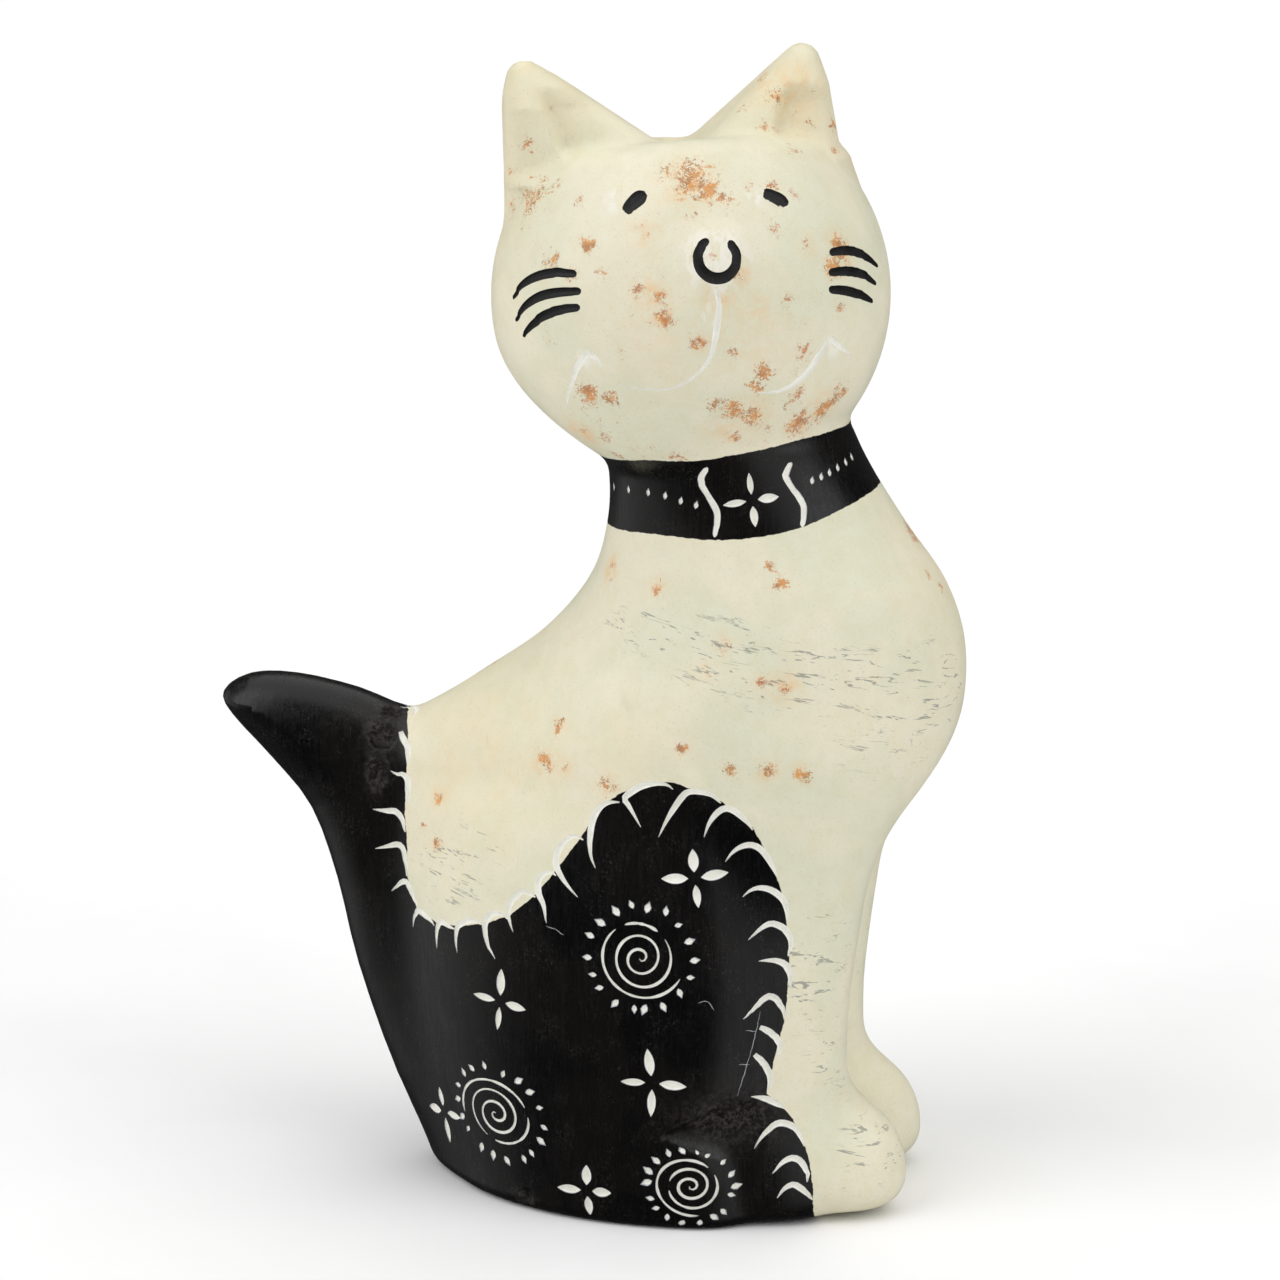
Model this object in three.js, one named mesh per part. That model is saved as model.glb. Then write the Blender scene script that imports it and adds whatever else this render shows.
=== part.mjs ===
// A seated cat carved from one block of soapstone, 200 mm high. Millimetres, +Z up, chest towards +X, face towards -Y.
// The carved body is described as one field (negative inside the stone) and its zero surface is meshed.
import * as THREE from "three";

// Heights in the block
const NECK_TOP = 140;
const HIP_TOP = 79.5;
const LEG_TOP = 88;

// Outlines of the trunk by height: front, back and half width, then how full the chest and the rump
// are in plan (2 is an ellipse)
const TRUNK_FRONT = [[0, 28], [40, 31], [52, 35], [66, 43.6], [74.5, 50.2], [83.5, 55.1], [94, 56.8], [102, 55.9],
  [110, 52.7], [118.7, 46.5], [134, 37.3], [142, 34.5]];
const TRUNK_BACK = [[0, -31], [30, -37], [60, -38.8], [76, -37.6], [84, -34.4], [90, -28.8], [99, -16.9], [109, -8.6],
  [119, -5.4], [129, -5.2], [142, -9]];
const TRUNK_HALF = [[0, 20], [30, 23], [65, 25.8], [86, 27.8], [105, 26], [124, 21.8], [142, 22]];
const CHEST_POINT = [[0, 2], [45, 2], [60, 2.7], [78, 2.6], [95, 2.1], [110, 2], [142, 2]];
const RUMP_POINT = [[0, 2], [60, 2], [76, 1.68], [96, 1.62], [120, 2], [142, 2]];

// The block of haunches and folded hind legs by height
const HIP_FRONT = [[0, 29.5], [10, 31.2], [22, 29.8], [38, 32], [55, 30.5], [70, 19.5], [80, 10]];
const HIP_BACK = [[0, -34], [24, -37.5], [50, -39.5], [62, -39], [70, -36.5], [80, -20]];
const HIP_HALF = [[0, 28.9], [24, 30.5], [50, 29.9], [60, 28.2], [68, 25.6], [80, 18]];
const HIP_WIDEST = 8;

// Side view of the tail, from the foot of the block up its back, round the tip and along the rump
const TAIL_BACK = [[-33.6, -6], [-35.9, 0.7], [-44.3, 16.2], [-51.2, 36.3], [-54.8, 52], [-59.3, 64.9], [-66.2, 73.5],
  [-73.4, 81.2], [-75.1, 85.4], [-70.2, 88.6], [-61.9, 88.9], [-51, 86.8], [-41.5, 83.6], [-34, 85], [-24, 86]];
const TAIL_ROOT = [[-12, 78], [-15, -6]];
const TAIL_EDGE = 12;
const TAIL_HALF_THICKNESS = 8.5;

// A front leg by height: centre forward, centre out to the side, radius
const LEG_FORWARD = [[0, 27], [35, 26.9], [55, 28.1], [90, 30.5]];
const LEG_ASIDE = [[0, 12], [35, 12], [68, 10.2], [90, 7.5]];
const LEG_RADIUS = [[0, 8.8], [14, 11.5], [35, 11.7], [55, 12.9], [90, 16.5]];
const PAW = { centre: [36.3, 12, 7], radii: [12.8, 10.2, 13.6] };
const HIND_FOOT = { centre: [26.3, 19.6, 8], radii: [6.2, 5.6, 8.5] };

// The head is a ball turned towards the viewer and tipped a little
const HEAD = { centre: [9, -1, 158.1], turn: 17.8, tip: 4, radii: [34, 29.5, 34] };
const JAW_FLAT = 32.8;
const CROWN = 25.3;
const EAR_ROUND = 3.2;
const RIGHT_EAR = { outline: [[21.6, 37.9], [22.6, 33.5], [23.7, 22.6], [25.4, 20.4], [27.6, 13], [16, 6], [4.1, 22.4]],
  creaseTop: [18.6, 34.6], creaseFoot: [15.1, 24.2], depth: 2.0, run: 0.2 };
const LEFT_EAR = { outline: [[-25.4, 38.9], [-26, 36], [-27.1, 20], [-27.8, 14], [-18, 6], [-4.6, 22.9]],
  creaseTop: [-22.8, 36.7], creaseFoot: [-19.6, 26.3], depth: 2.2, run: 0.17 };

// Meshing
const CELL = 1.5;
const TRIANGLES = 9600;

const clamp = (v, lo, hi) => Math.min(Math.max(v, lo), hi);

// Smooth curve through [height, value] stations
function curve(stations) {
  const n = stations.length;
  const at = stations.map((s) => s[0]);
  const value = stations.map((s) => s[1]);
  const step = at.slice(1).map((a, i) => a - at[i]);
  const rise = step.map((h, i) => (value[i + 1] - value[i]) / h);
  const slope = value.map((_, i) => {
    if (i === 0) return rise[0];
    if (i === n - 1) return rise[n - 2];
    return (rise[i - 1] * step[i] + rise[i] * step[i - 1]) / (step[i] + step[i - 1]);
  });
  return (z) => {
    const q = clamp(z, at[0], at[n - 1]);
    let i = 0;
    while (i < n - 2 && q >= at[i + 1]) i++;
    const h = step[i];
    const t = (q - at[i]) / h;
    const t2 = t * t;
    const t3 = t2 * t;
    return value[i] * (2 * t3 - 3 * t2 + 1) + value[i + 1] * (3 * t2 - 2 * t3)
      + h * (slope[i] * (t3 - 2 * t2 + t) + slope[i + 1] * (t3 - t2));
  };
}

// Joining and cutting with a rounded seam of width k
function join(a, b, k) {
  const h = Math.max(k - Math.abs(a - b), 0) / k;
  return Math.min(a, b) - h * h * k * 0.25;
}
const within = (a, b, k) => -join(-a, -b, k);

function ellipsoid(x, y, z, { centre, radii }) {
  const [a, b, c] = radii;
  const u = x - centre[0];
  const v = y - centre[1];
  const w = z - centre[2];
  const k0 = Math.hypot(u / a, v / b, w / c);
  const k1 = Math.hypot(u / (a * a), v / (b * b), w / (c * c)) + 1e-9;
  return (k0 * (k0 - 1)) / k1;
}

function taperedRod(x, y, z, from, to, r0, r1) {
  const dx = to[0] - from[0];
  const dy = to[1] - from[1];
  const dz = to[2] - from[2];
  const u = x - from[0];
  const v = y - from[1];
  const w = z - from[2];
  const t = clamp((u * dx + v * dy + w * dz) / (dx * dx + dy * dy + dz * dz), 0, 1);
  return Math.hypot(u - t * dx, v - t * dy, w - t * dz) - (r0 + (r1 - r0) * t);
}

// Signed distance to a closed outline, negative inside
function outline(px, py, points) {
  let best = Infinity;
  let inside = false;
  for (let i = 0, j = points.length - 1; i < points.length; j = i++) {
    const [ax, ay] = points[i];
    const ex = points[j][0] - ax;
    const ey = points[j][1] - ay;
    const wx = px - ax;
    const wy = py - ay;
    const t = clamp((wx * ex + wy * ey) / (ex * ex + ey * ey), 0, 1);
    best = Math.min(best, (wx - ex * t) ** 2 + (wy - ey * t) ** 2);
    if (ay > py !== points[j][1] > py && px < (ex * wy) / ey + ax) inside = !inside;
  }
  return inside ? -Math.sqrt(best) : Math.sqrt(best);
}

// Upright body whose plan is two half superellipses, back..widest and widest..front
function loft(x, y, front, back, half, widest, frontPower, backPower) {
  const reach = x > widest ? front - widest : widest - back;
  const n = x > widest ? frontPower : backPower;
  const u = Math.abs(x - widest) / reach;
  const v = Math.abs(y) / half;
  const e = (u ** n + v ** n) ** (1 / n);
  const g = Math.hypot(u ** (n - 1) / reach, v ** (n - 1) / half) / Math.max(e, 1e-6) ** (n - 1);
  return (e - 1) / Math.max(g, 1 / (1.6 * Math.max(reach, half)));
}

const trunkFront = curve(TRUNK_FRONT);
const trunkBack = curve(TRUNK_BACK);
const trunkHalf = curve(TRUNK_HALF);
const chestPoint = curve(CHEST_POINT);
const rumpPoint = curve(RUMP_POINT);
function trunk(x, y, z) {
  const front = trunkFront(z);
  const back = trunkBack(z);
  const d = loft(x, y, front, back, trunkHalf(z), (front + back) / 2, chestPoint(z), rumpPoint(z));
  return within(d, z - NECK_TOP, 6);
}

// Haunches with the hind feet, and the scoop between thigh and foot on each side
const hipFront = curve(HIP_FRONT);
const hipBack = curve(HIP_BACK);
const hipHalf = curve(HIP_HALF);
function haunches(x, y, z) {
  const side = Math.abs(y);
  let d = loft(x, y, hipFront(z), hipBack(z), hipHalf(z), HIP_WIDEST, 2.9, 2);
  d = within(d, z - HIP_TOP, 8);
  d = join(d, within(ellipsoid(x, side, z, HIND_FOOT), -z, 6), 4);
  d = within(d, -taperedRod(x, side, z, [9.5, 30.6, 17.3], [23.5, 32, 18], 0.8, 8), 1.2);
  return within(d, -taperedRod(x, side, z, [22, 31.2, 16], [24, 31.4, 6], 4.8, 2.4), 2.6);
}

// A plate cut to the side view and rounded over at its edge
const tailCurve = new THREE.SplineCurve(TAIL_BACK.map((p) => new THREE.Vector2(...p)));
const tailOutline = [...tailCurve.getPoints(42).map((p) => p.toArray()), ...TAIL_ROOT];
function tail(x, y, z) {
  const inward = Math.max(outline(x, z, tailOutline) + TAIL_EDGE, 0);
  const aside = (Math.abs(y) * TAIL_EDGE) / TAIL_HALF_THICKNESS;
  return (Math.hypot(inward, aside) - TAIL_EDGE) * 0.85;
}

const legForward = curve(LEG_FORWARD);
const legAside = curve(LEG_ASIDE);
const legRadius = curve(LEG_RADIUS);
function frontLegs(x, y, z) {
  const side = Math.abs(y);
  let d = Math.hypot(x - legForward(z), side - legAside(z)) - legRadius(z);
  d = within(d, z - LEG_TOP, 8);
  d = join(d, taperedRod(x, side, z, [27, 0, 80], [26, 0, 4], 7.5, 6.5), 4);
  return join(d, within(ellipsoid(x, side, z, PAW), -z, 6.5), 6);
}

// Directions of the turned head: across, forward through the face, and up
const turn = THREE.MathUtils.degToRad(HEAD.turn);
const tip = THREE.MathUtils.degToRad(HEAD.tip);
const level = new THREE.Vector3(Math.cos(turn), Math.sin(turn), 0);
const forward = new THREE.Vector3(Math.sin(turn), -Math.cos(turn), 0);
const across = level.clone().multiplyScalar(Math.cos(tip)).add(new THREE.Vector3(0, 0, Math.sin(tip)));
const up = level.clone().multiplyScalar(-Math.sin(tip)).add(new THREE.Vector3(0, 0, Math.cos(tip)));
const seen = new THREE.Vector3();

// A triangular ear with a rounded edge and a hollow that is deepest along its crease
function ear(l, d, h, shape) {
  const edge = outline(l, h, shape.outline) - EAR_ROUND;
  const [topL, topH] = shape.creaseTop;
  const [footL, footH] = shape.creaseFoot;
  const t = (h - footH) / (topH - footH);
  const s = l - (footL + (topL - footL) * t);
  const slope = Math.max(s > 0 ? shape.depth - shape.run * s : shape.depth + 2.2 * s, 0);
  const hollow = slope * clamp((1.04 - t) * 3, 0, 1) * clamp((t + 0.25) * 3, 0, 1);
  const hug = Math.max(Math.abs(l) - 13, 0) * clamp((34 - h) / 10, 0, 1);
  const front = Math.min(10 - 0.52 * (h - 24), 10 + 0.9 * (h - 20)) - 0.35 * hug - hollow;
  const back = Math.max(-15 + 0.62 * (h - 24), -15 - 0.9 * (h - 20)) + 0.5 * hug;
  return within(edge, Math.max(d - front, back - d) * 0.85, 4.5);
}

function head(x, y, z) {
  seen.set(x - HEAD.centre[0], y - HEAD.centre[1], z - HEAD.centre[2]);
  const l = seen.dot(across);
  const d = seen.dot(forward);
  const h = seen.dot(up);
  const ball = within(ellipsoid(l, d, h, { centre: [0, 0, 0], radii: HEAD.radii }), -0.62 * l - 0.78 * h - JAW_FLAT, 9);
  let out = within(ball, (h - CROWN - 0.2 * d) * 0.98, 4);
  out = join(out, ear(l, d, h, RIGHT_EAR), 2.4);
  return join(out, ear(l, d, h, LEFT_EAR), 2.4);
}

// The whole carving, standing on its flat underside
function stone(x, y, z) {
  let d = join(trunk(x, y, z), haunches(x, y, z), 7);
  d = join(d, tail(x, y, z), 8);
  d = join(d, frontLegs(x, y, z), 6.5);
  d = join(d, head(x, y, z), 2);
  return within(d, -z, 2.6);
}

// Zero surface of the field as quads, one vertex in each grid cell that the surface crosses
function skin(field, low, high, cell) {
  const [nx, ny, nz] = low.map((a, i) => Math.ceil((high[i] - a) / cell) + 1);
  const at = (i, j, k) => (i * ny + j) * nz + k;
  const value = new Float64Array(nx * ny * nz);
  for (let i = 0; i < nx; i++)
    for (let j = 0; j < ny; j++)
      for (let k = 0; k < nz; k++)
        value[at(i, j, k)] = field(low[0] + i * cell, low[1] + j * cell, low[2] + k * cell);
  const vertexOf = new Int32Array(value.length).fill(-1);
  const points = [];
  const step = [at(1, 0, 0), at(0, 1, 0), at(0, 0, 1)];
  for (let i = 0; i < nx - 1; i++)
    for (let j = 0; j < ny - 1; j++)
      for (let k = 0; k < nz - 1; k++) {
        const here = at(i, j, k);
        const sum = [0, 0, 0];
        let crossings = 0;
        for (let corner = 0; corner < 8; corner++)
          for (let axis = 0; axis < 3; axis++) {
            if (corner & (1 << axis)) continue;
            const bits = [corner & 1, (corner >> 1) & 1, (corner >> 2) & 1];
            const from = here + bits[0] * step[0] + bits[1] * step[1] + bits[2] * step[2];
            const a = value[from];
            const b = value[from + step[axis]];
            if (a < 0 === b < 0) continue;
            crossings++;
            for (let c = 0; c < 3; c++) sum[c] += bits[c] + (c === axis ? a / (a - b) : 0);
          }
        if (!crossings) continue;
        vertexOf[here] = points.length;
        points.push([i, j, k].map((g, c) => low[c] + (g + sum[c] / crossings) * cell));
      }
  const faces = [];
  for (let i = 1; i < nx - 1; i++)
    for (let j = 1; j < ny - 1; j++)
      for (let k = 1; k < nz - 1; k++) {
        const here = at(i, j, k);
        for (let axis = 0; axis < 3; axis++) {
          const inside = value[here] < 0;
          if (inside === value[here + step[axis]] < 0) continue;
          const u = step[(axis + 1) % 3];
          const v = step[(axis + 2) % 3];
          const q = [here - u - v, here - v, here, here - u].map((c) => vertexOf[c]);
          if (inside) faces.push([q[0], q[1], q[2]], [q[0], q[2], q[3]]);
          else faces.push([q[0], q[2], q[1]], [q[0], q[3], q[2]]);
        }
      }
  return { points, faces };
}

// Moves each point along the slope of the field onto the surface
function settle(field, points) {
  const e = 0.02;
  for (const p of points)
    for (let pass = 0; pass < 3; pass++) {
      const [x, y, z] = p;
      const f = field(x, y, z);
      const g = [field(x + e, y, z) - f, field(x, y + e, z) - f, field(x, y, z + e) - f].map((v) => v / e);
      const gg = Math.max(g[0] ** 2 + g[1] ** 2 + g[2] ** 2, 0.05);
      const reach = clamp(f / gg, -0.7, 0.7);
      for (let c = 0; c < 3; c++) p[c] -= g[c] * reach;
    }
}

// Least of the pending edges, kept as a binary heap on cost
class Queue {
  items = [];
  push(item) {
    const a = this.items;
    a.push(item);
    let i = a.length - 1;
    while (i && a[(i - 1) >> 1].cost > a[i].cost) {
      const parent = (i - 1) >> 1;
      [a[i], a[parent]] = [a[parent], a[i]];
      i = parent;
    }
  }
  pop() {
    const a = this.items;
    const top = a[0];
    const last = a.pop();
    if (!a.length) return top;
    a[0] = last;
    for (let i = 0; ; ) {
      let least = i;
      for (const child of [2 * i + 1, 2 * i + 2]) if (child < a.length && a[child].cost < a[least].cost) least = child;
      if (least === i) return top;
      [a[i], a[least]] = [a[least], a[i]];
      i = least;
    }
  }
}

const minus = (a, b) => [a[0] - b[0], a[1] - b[1], a[2] - b[2]];
const dot = (a, b) => a[0] * b[0] + a[1] * b[1] + a[2] * b[2];
const cross = (a, b) => [a[1] * b[2] - a[2] * b[1], a[2] * b[0] - a[0] * b[2], a[0] * b[1] - a[1] * b[0]];

// Squared distance to a set of planes as ten numbers, and its value at a point
function planeQuadric([a, b, c], d, w) {
  return [a * a, a * b, a * c, a * d, b * b, b * c, b * d, c * c, c * d, d * d].map((v) => v * w);
}
const plus = (p, q) => p.map((v, i) => v + q[i]);
function error(q, [x, y, z]) {
  return q[0] * x * x + 2 * q[1] * x * y + 2 * q[2] * x * z + 2 * q[3] * x + q[4] * y * y
    + 2 * q[5] * y * z + 2 * q[6] * y + q[7] * z * z + 2 * q[8] * z + q[9];
}
function lowest(q) {
  const m = new THREE.Matrix3().set(q[0], q[1], q[2], q[1], q[4], q[5], q[2], q[5], q[7]);
  const scale = (q[0] + q[4] + q[7]) / 3;
  if (Math.abs(m.determinant()) < 2e-3 * scale ** 3) return null;
  return new THREE.Vector3(-q[3], -q[6], -q[8]).applyMatrix3(m.invert()).toArray();
}

// Collapses edges, least change first, until the wanted number of triangles is left
function thin(points, faces, wanted) {
  const around = points.map(() => new Set());
  const quadric = points.map(() => new Array(10).fill(0));
  const alive = faces.map(() => true);
  const stamp = new Int32Array(points.length);
  faces.forEach((f, i) => {
    const n = cross(minus(points[f[1]], points[f[0]]), minus(points[f[2]], points[f[0]]));
    const area = Math.hypot(...n);
    const unit = n.map((v) => v / (area || 1));
    const q = planeQuadric(unit, -dot(unit, points[f[0]]), area);
    for (const v of f) {
      around[v].add(i);
      quadric[v] = plus(quadric[v], q);
    }
  });
  const neighbours = (v) => new Set([...around[v]].flatMap((f) => faces[f]).filter((w) => w !== v));
  const queue = new Queue();
  const propose = (a, b) => {
    const q = plus(quadric[a], quadric[b]);
    const pa = points[a];
    const pb = points[b];
    const mid = pa.map((v, i) => (v + pb[i]) / 2);
    const span = Math.hypot(...minus(pa, pb));
    const best = lowest(q);
    const choices = [mid, pa, pb];
    if (best && Math.hypot(...minus(best, mid)) < span * 1.5) choices.unshift(best);
    let place = choices[0];
    for (const c of choices) if (error(q, c) < error(q, place) - 1e-9) place = c;
    queue.push({ cost: error(q, place) + 2e-4 * span ** 4, a, b, place, stampA: stamp[a], stampB: stamp[b] });
  };
  for (const f of faces)
    for (let c = 0; c < 3; c++) if (f[c] < f[(c + 1) % 3]) propose(f[c], f[(c + 1) % 3]);
  let left = faces.length;
  while (left > wanted && queue.items.length) {
    const { a, b, place, stampA, stampB } = queue.pop();
    if (stamp[a] !== stampA || stamp[b] !== stampB) continue;
    const nearA = neighbours(a);
    const nearB = neighbours(b);
    const common = [...nearA].filter((v) => nearB.has(v));
    const shared = [...around[a]].filter((f) => around[b].has(f));
    if (common.length !== 2 || shared.length !== 2 || common.some((v) => around[v].size < 4)) continue;
    const folds = [...around[a], ...around[b]].some((f) => {
      if (shared.includes(f)) return false;
      const old = faces[f].map((v) => points[v]);
      const moved = faces[f].map((v) => (v === a || v === b ? place : points[v]));
      const n0 = cross(minus(old[1], old[0]), minus(old[2], old[0]));
      const n1 = cross(minus(moved[1], moved[0]), minus(moved[2], moved[0]));
      const size = Math.hypot(...n1);
      const longest = Math.max(...[0, 1, 2].map((c) => Math.hypot(...minus(moved[c], moved[(c + 1) % 3]))));
      return dot(n0, n1) < 0.3 * Math.hypot(...n0) * size || size < 0.12 * longest * longest;
    });
    if (folds) continue;
    for (const f of shared) {
      alive[f] = false;
      left--;
      for (const v of faces[f]) around[v].delete(f);
    }
    for (const f of around[b]) {
      faces[f] = faces[f].map((v) => (v === b ? a : v));
      around[a].add(f);
    }
    around[b].clear();
    points[a] = place;
    quadric[a] = plus(quadric[a], quadric[b]);
    stamp[a]++;
    stamp[b] = -1;
    for (const v of neighbours(a)) propose(Math.min(a, v), Math.max(a, v));
  }
  return faces.filter((_, i) => alive[i]);
}

function carvedStone() {
  const { points, faces } = skin(stone, [-80.6, -36.4, -3.3], [62, 36.4, 205], CELL);
  settle(stone, points);
  const kept = thin(points, faces, TRIANGLES);
  for (const p of points) if (Math.abs(p[2]) < 0.05) p[2] = 0;
  const geometry = new THREE.BufferGeometry();
  geometry.setAttribute("position", new THREE.Float32BufferAttribute(kept.flat().flatMap((v) => points[v]), 3));
  geometry.computeBoundingBox();
  const box = geometry.boundingBox;
  geometry.translate(-(box.min.x + box.max.x) / 2, -(box.min.y + box.max.y) / 2, 0);
  geometry.computeVertexNormals();
  return geometry;
}

const soapstone = new THREE.MeshStandardMaterial({ color: 0xe6e1c8, roughness: 0.42, metalness: 0 });
const cat = new THREE.Mesh(carvedStone(), soapstone);
cat.name = "carved_cat";

const figure = new THREE.Group();
figure.name = "soapstone_cat";
figure.add(cat);

export default figure;
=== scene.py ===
import bmesh
import bpy
import numpy as np
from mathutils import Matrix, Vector


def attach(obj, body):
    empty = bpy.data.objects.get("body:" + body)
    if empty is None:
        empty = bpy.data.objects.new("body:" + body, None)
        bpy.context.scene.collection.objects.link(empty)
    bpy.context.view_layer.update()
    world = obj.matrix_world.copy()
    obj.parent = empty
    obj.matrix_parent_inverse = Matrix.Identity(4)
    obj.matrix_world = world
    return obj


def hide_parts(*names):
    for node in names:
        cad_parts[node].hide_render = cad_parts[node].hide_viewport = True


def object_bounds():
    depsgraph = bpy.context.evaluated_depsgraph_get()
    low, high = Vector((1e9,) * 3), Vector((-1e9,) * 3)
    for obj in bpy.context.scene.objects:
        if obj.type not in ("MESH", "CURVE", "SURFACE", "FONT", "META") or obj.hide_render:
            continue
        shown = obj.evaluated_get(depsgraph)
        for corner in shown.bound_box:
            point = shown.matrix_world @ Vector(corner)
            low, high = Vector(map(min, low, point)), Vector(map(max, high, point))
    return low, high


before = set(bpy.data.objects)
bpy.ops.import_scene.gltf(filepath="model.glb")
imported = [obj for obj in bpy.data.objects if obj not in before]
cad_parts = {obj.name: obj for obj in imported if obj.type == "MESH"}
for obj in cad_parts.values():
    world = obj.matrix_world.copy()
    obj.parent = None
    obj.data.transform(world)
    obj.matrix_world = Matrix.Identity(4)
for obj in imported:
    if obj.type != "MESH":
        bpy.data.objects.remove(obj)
frame_low, frame_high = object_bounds()

# The viewpoint: a little ahead of the cat's right side and above it, from far enough away that the
# carving is hardly foreshortened.
MM = 0.001
VIEW_AROUND, VIEW_ABOVE = np.radians(10), np.radians(13)
VIEW_DISTANCE = 670 * MM
VIEW_TARGET = Vector((9.2, 0.1, 97.4)) * MM
PHOTO_SIZE, PHOTO_REACH = 1280, 3850
away = Vector((np.sin(VIEW_AROUND) * np.cos(VIEW_ABOVE), -np.cos(VIEW_AROUND) * np.cos(VIEW_ABOVE),
               np.sin(VIEW_ABOVE)))
camera = bpy.data.objects.new("camera", bpy.data.cameras.new("camera"))
camera.data.sensor_width = 36
camera.data.lens = camera.data.sensor_width * PHOTO_REACH / PHOTO_SIZE
camera.location = VIEW_TARGET + away * VIEW_DISTANCE
camera.rotation_mode = "QUATERNION"
camera.rotation_quaternion = (-away).to_track_quat("-Z", "Y")
bpy.context.scene.collection.objects.link(camera)
bpy.context.scene.camera = camera

# The stone: one block, roughed out in upright stages. The trunk leans forward over the front legs, and the
# haunches and folded hind legs are left as one thick block under it. Every form is a distance in
# millimetres, negative inside the stone, with x towards the chest and the face turned towards -y.


def through(stations, at):
    """A smooth curve through (place, value) stations."""
    place, value = np.array(stations, float).T
    step = np.diff(place)
    rise = np.diff(value) / step
    slope = np.empty_like(value)
    slope[0], slope[-1] = rise[0], rise[-1]
    slope[1:-1] = (rise[:-1] * step[1:] + rise[1:] * step[:-1]) / (step[1:] + step[:-1])
    at = np.clip(at, place[0], place[-1])
    i = np.clip(np.searchsorted(place, at, side="right") - 1, 0, len(step) - 1)
    t = (at - place[i]) / step[i]
    bend = slope[i] * (t**3 - 2 * t**2 + t) + slope[i + 1] * (t**3 - t**2)
    return value[i] * (2 * t**3 - 3 * t**2 + 1) + value[i + 1] * (3 * t**2 - 2 * t**3) + step[i] * bend


def join(a, b, seam):
    """Two forms run together over a rounded seam."""
    near = np.maximum(seam - np.abs(a - b), 0) / seam
    return np.minimum(a, b) - near * near * seam * 0.25


def within(a, b, seam):
    """What two forms share, with the edge rounded over."""
    return -join(-a, -b, seam)


def egg(x, y, z, centre, radii):
    u, v, w = ((q - c) / r for q, c, r in zip((x, y, z), centre, radii))
    reach = np.sqrt(u * u + v * v + w * w)
    slope = np.sqrt((u / radii[0]) ** 2 + (v / radii[1]) ** 2 + (w / radii[2]) ** 2) + 1e-9
    return reach * (reach - 1) / slope


def rod(x, y, z, start, end, start_radius, end_radius):
    d = np.subtract(end, start)
    u, v, w = x - start[0], y - start[1], z - start[2]
    t = np.clip((u * d[0] + v * d[1] + w * d[2]) / (d @ d), 0, 1)
    across = np.sqrt((u - t * d[0]) ** 2 + (v - t * d[1]) ** 2 + (w - t * d[2]) ** 2)
    return across - (start_radius + (end_radius - start_radius) * t)


def inside_outline(px, py, outline):
    """Distance to a closed outline, negative inside."""
    nearest = np.full(np.shape(px), 1e9)
    sign = np.ones(np.shape(px))
    for (ax, ay), (bx, by) in zip(outline, [outline[-1], *outline[:-1]]):
        ex, ey, wx, wy = bx - ax, by - ay, px - ax, py - ay
        t = np.clip((wx * ex + wy * ey) / (ex * ex + ey * ey), 0, 1)
        nearest = np.minimum(nearest, (wx - ex * t) ** 2 + (wy - ey * t) ** 2)
        above, below, left = py >= ay, py < by, ex * wy > ey * wx
        sign = np.where((above & below & left) | ~(above | below | left), -sign, sign)
    return sign * np.sqrt(nearest)


def upright(x, y, front, back, half, widest, front_power, back_power):
    """An upright body whose plan is two half superellipses."""
    ahead = x > widest
    reach = np.where(ahead, front - widest, widest - back)
    n = np.where(ahead, front_power, back_power)
    u, v = np.abs(x - widest) / reach, np.abs(y) / half
    e = (u**n + v**n) ** (1 / n)
    g = np.hypot(u ** (n - 1) / reach, v ** (n - 1) / half) / np.maximum(e, 1e-6) ** (n - 1)
    return (e - 1) / np.maximum(g, 1 / (1.6 * np.maximum(reach, half)))


TRUNK_FRONT = [(0, 28), (40, 31), (52, 35), (66, 43.6), (74.5, 50.2), (83.5, 55.1), (94, 56.8), (102, 55.9),
               (110, 52.7), (118.7, 46.5), (134, 37.3), (142, 34.5)]
TRUNK_BACK = [(0, -31), (30, -37), (60, -38.8), (76, -37.6), (84, -34.4), (90, -28.8), (99, -16.9),
              (109, -8.6), (119, -5.4), (129, -5.2), (142, -9)]
TRUNK_HALF = [(0, 20), (30, 23), (65, 25.8), (86, 27.8), (105, 26), (124, 21.8), (142, 22)]
CHEST_POINT = [(0, 2), (45, 2), (60, 2.7), (78, 2.6), (95, 2.1), (110, 2), (142, 2)]
RUMP_POINT = [(0, 2), (60, 2), (76, 1.68), (96, 1.62), (120, 2), (142, 2)]
NECK_TOP = 140


def trunk(x, y, z):
    front, back = through(TRUNK_FRONT, z), through(TRUNK_BACK, z)
    shape = upright(x, y, front, back, through(TRUNK_HALF, z), (front + back) / 2,
                    through(CHEST_POINT, z), through(RUMP_POINT, z))
    return within(shape, z - NECK_TOP, 6)


HIP_FRONT = [(0, 29.5), (10, 31.2), (22, 29.8), (38, 32), (55, 30.5), (70, 19.5), (80, 10)]
HIP_BACK = [(0, -34), (24, -37.5), (50, -39.5), (62, -39), (70, -36.5), (80, -20)]
HIP_HALF = [(0, 28.9), (24, 30.5), (50, 29.9), (60, 28.2), (68, 25.6), (80, 18)]
HIP_WIDEST, HIP_TOP = 8, 79.5


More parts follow.
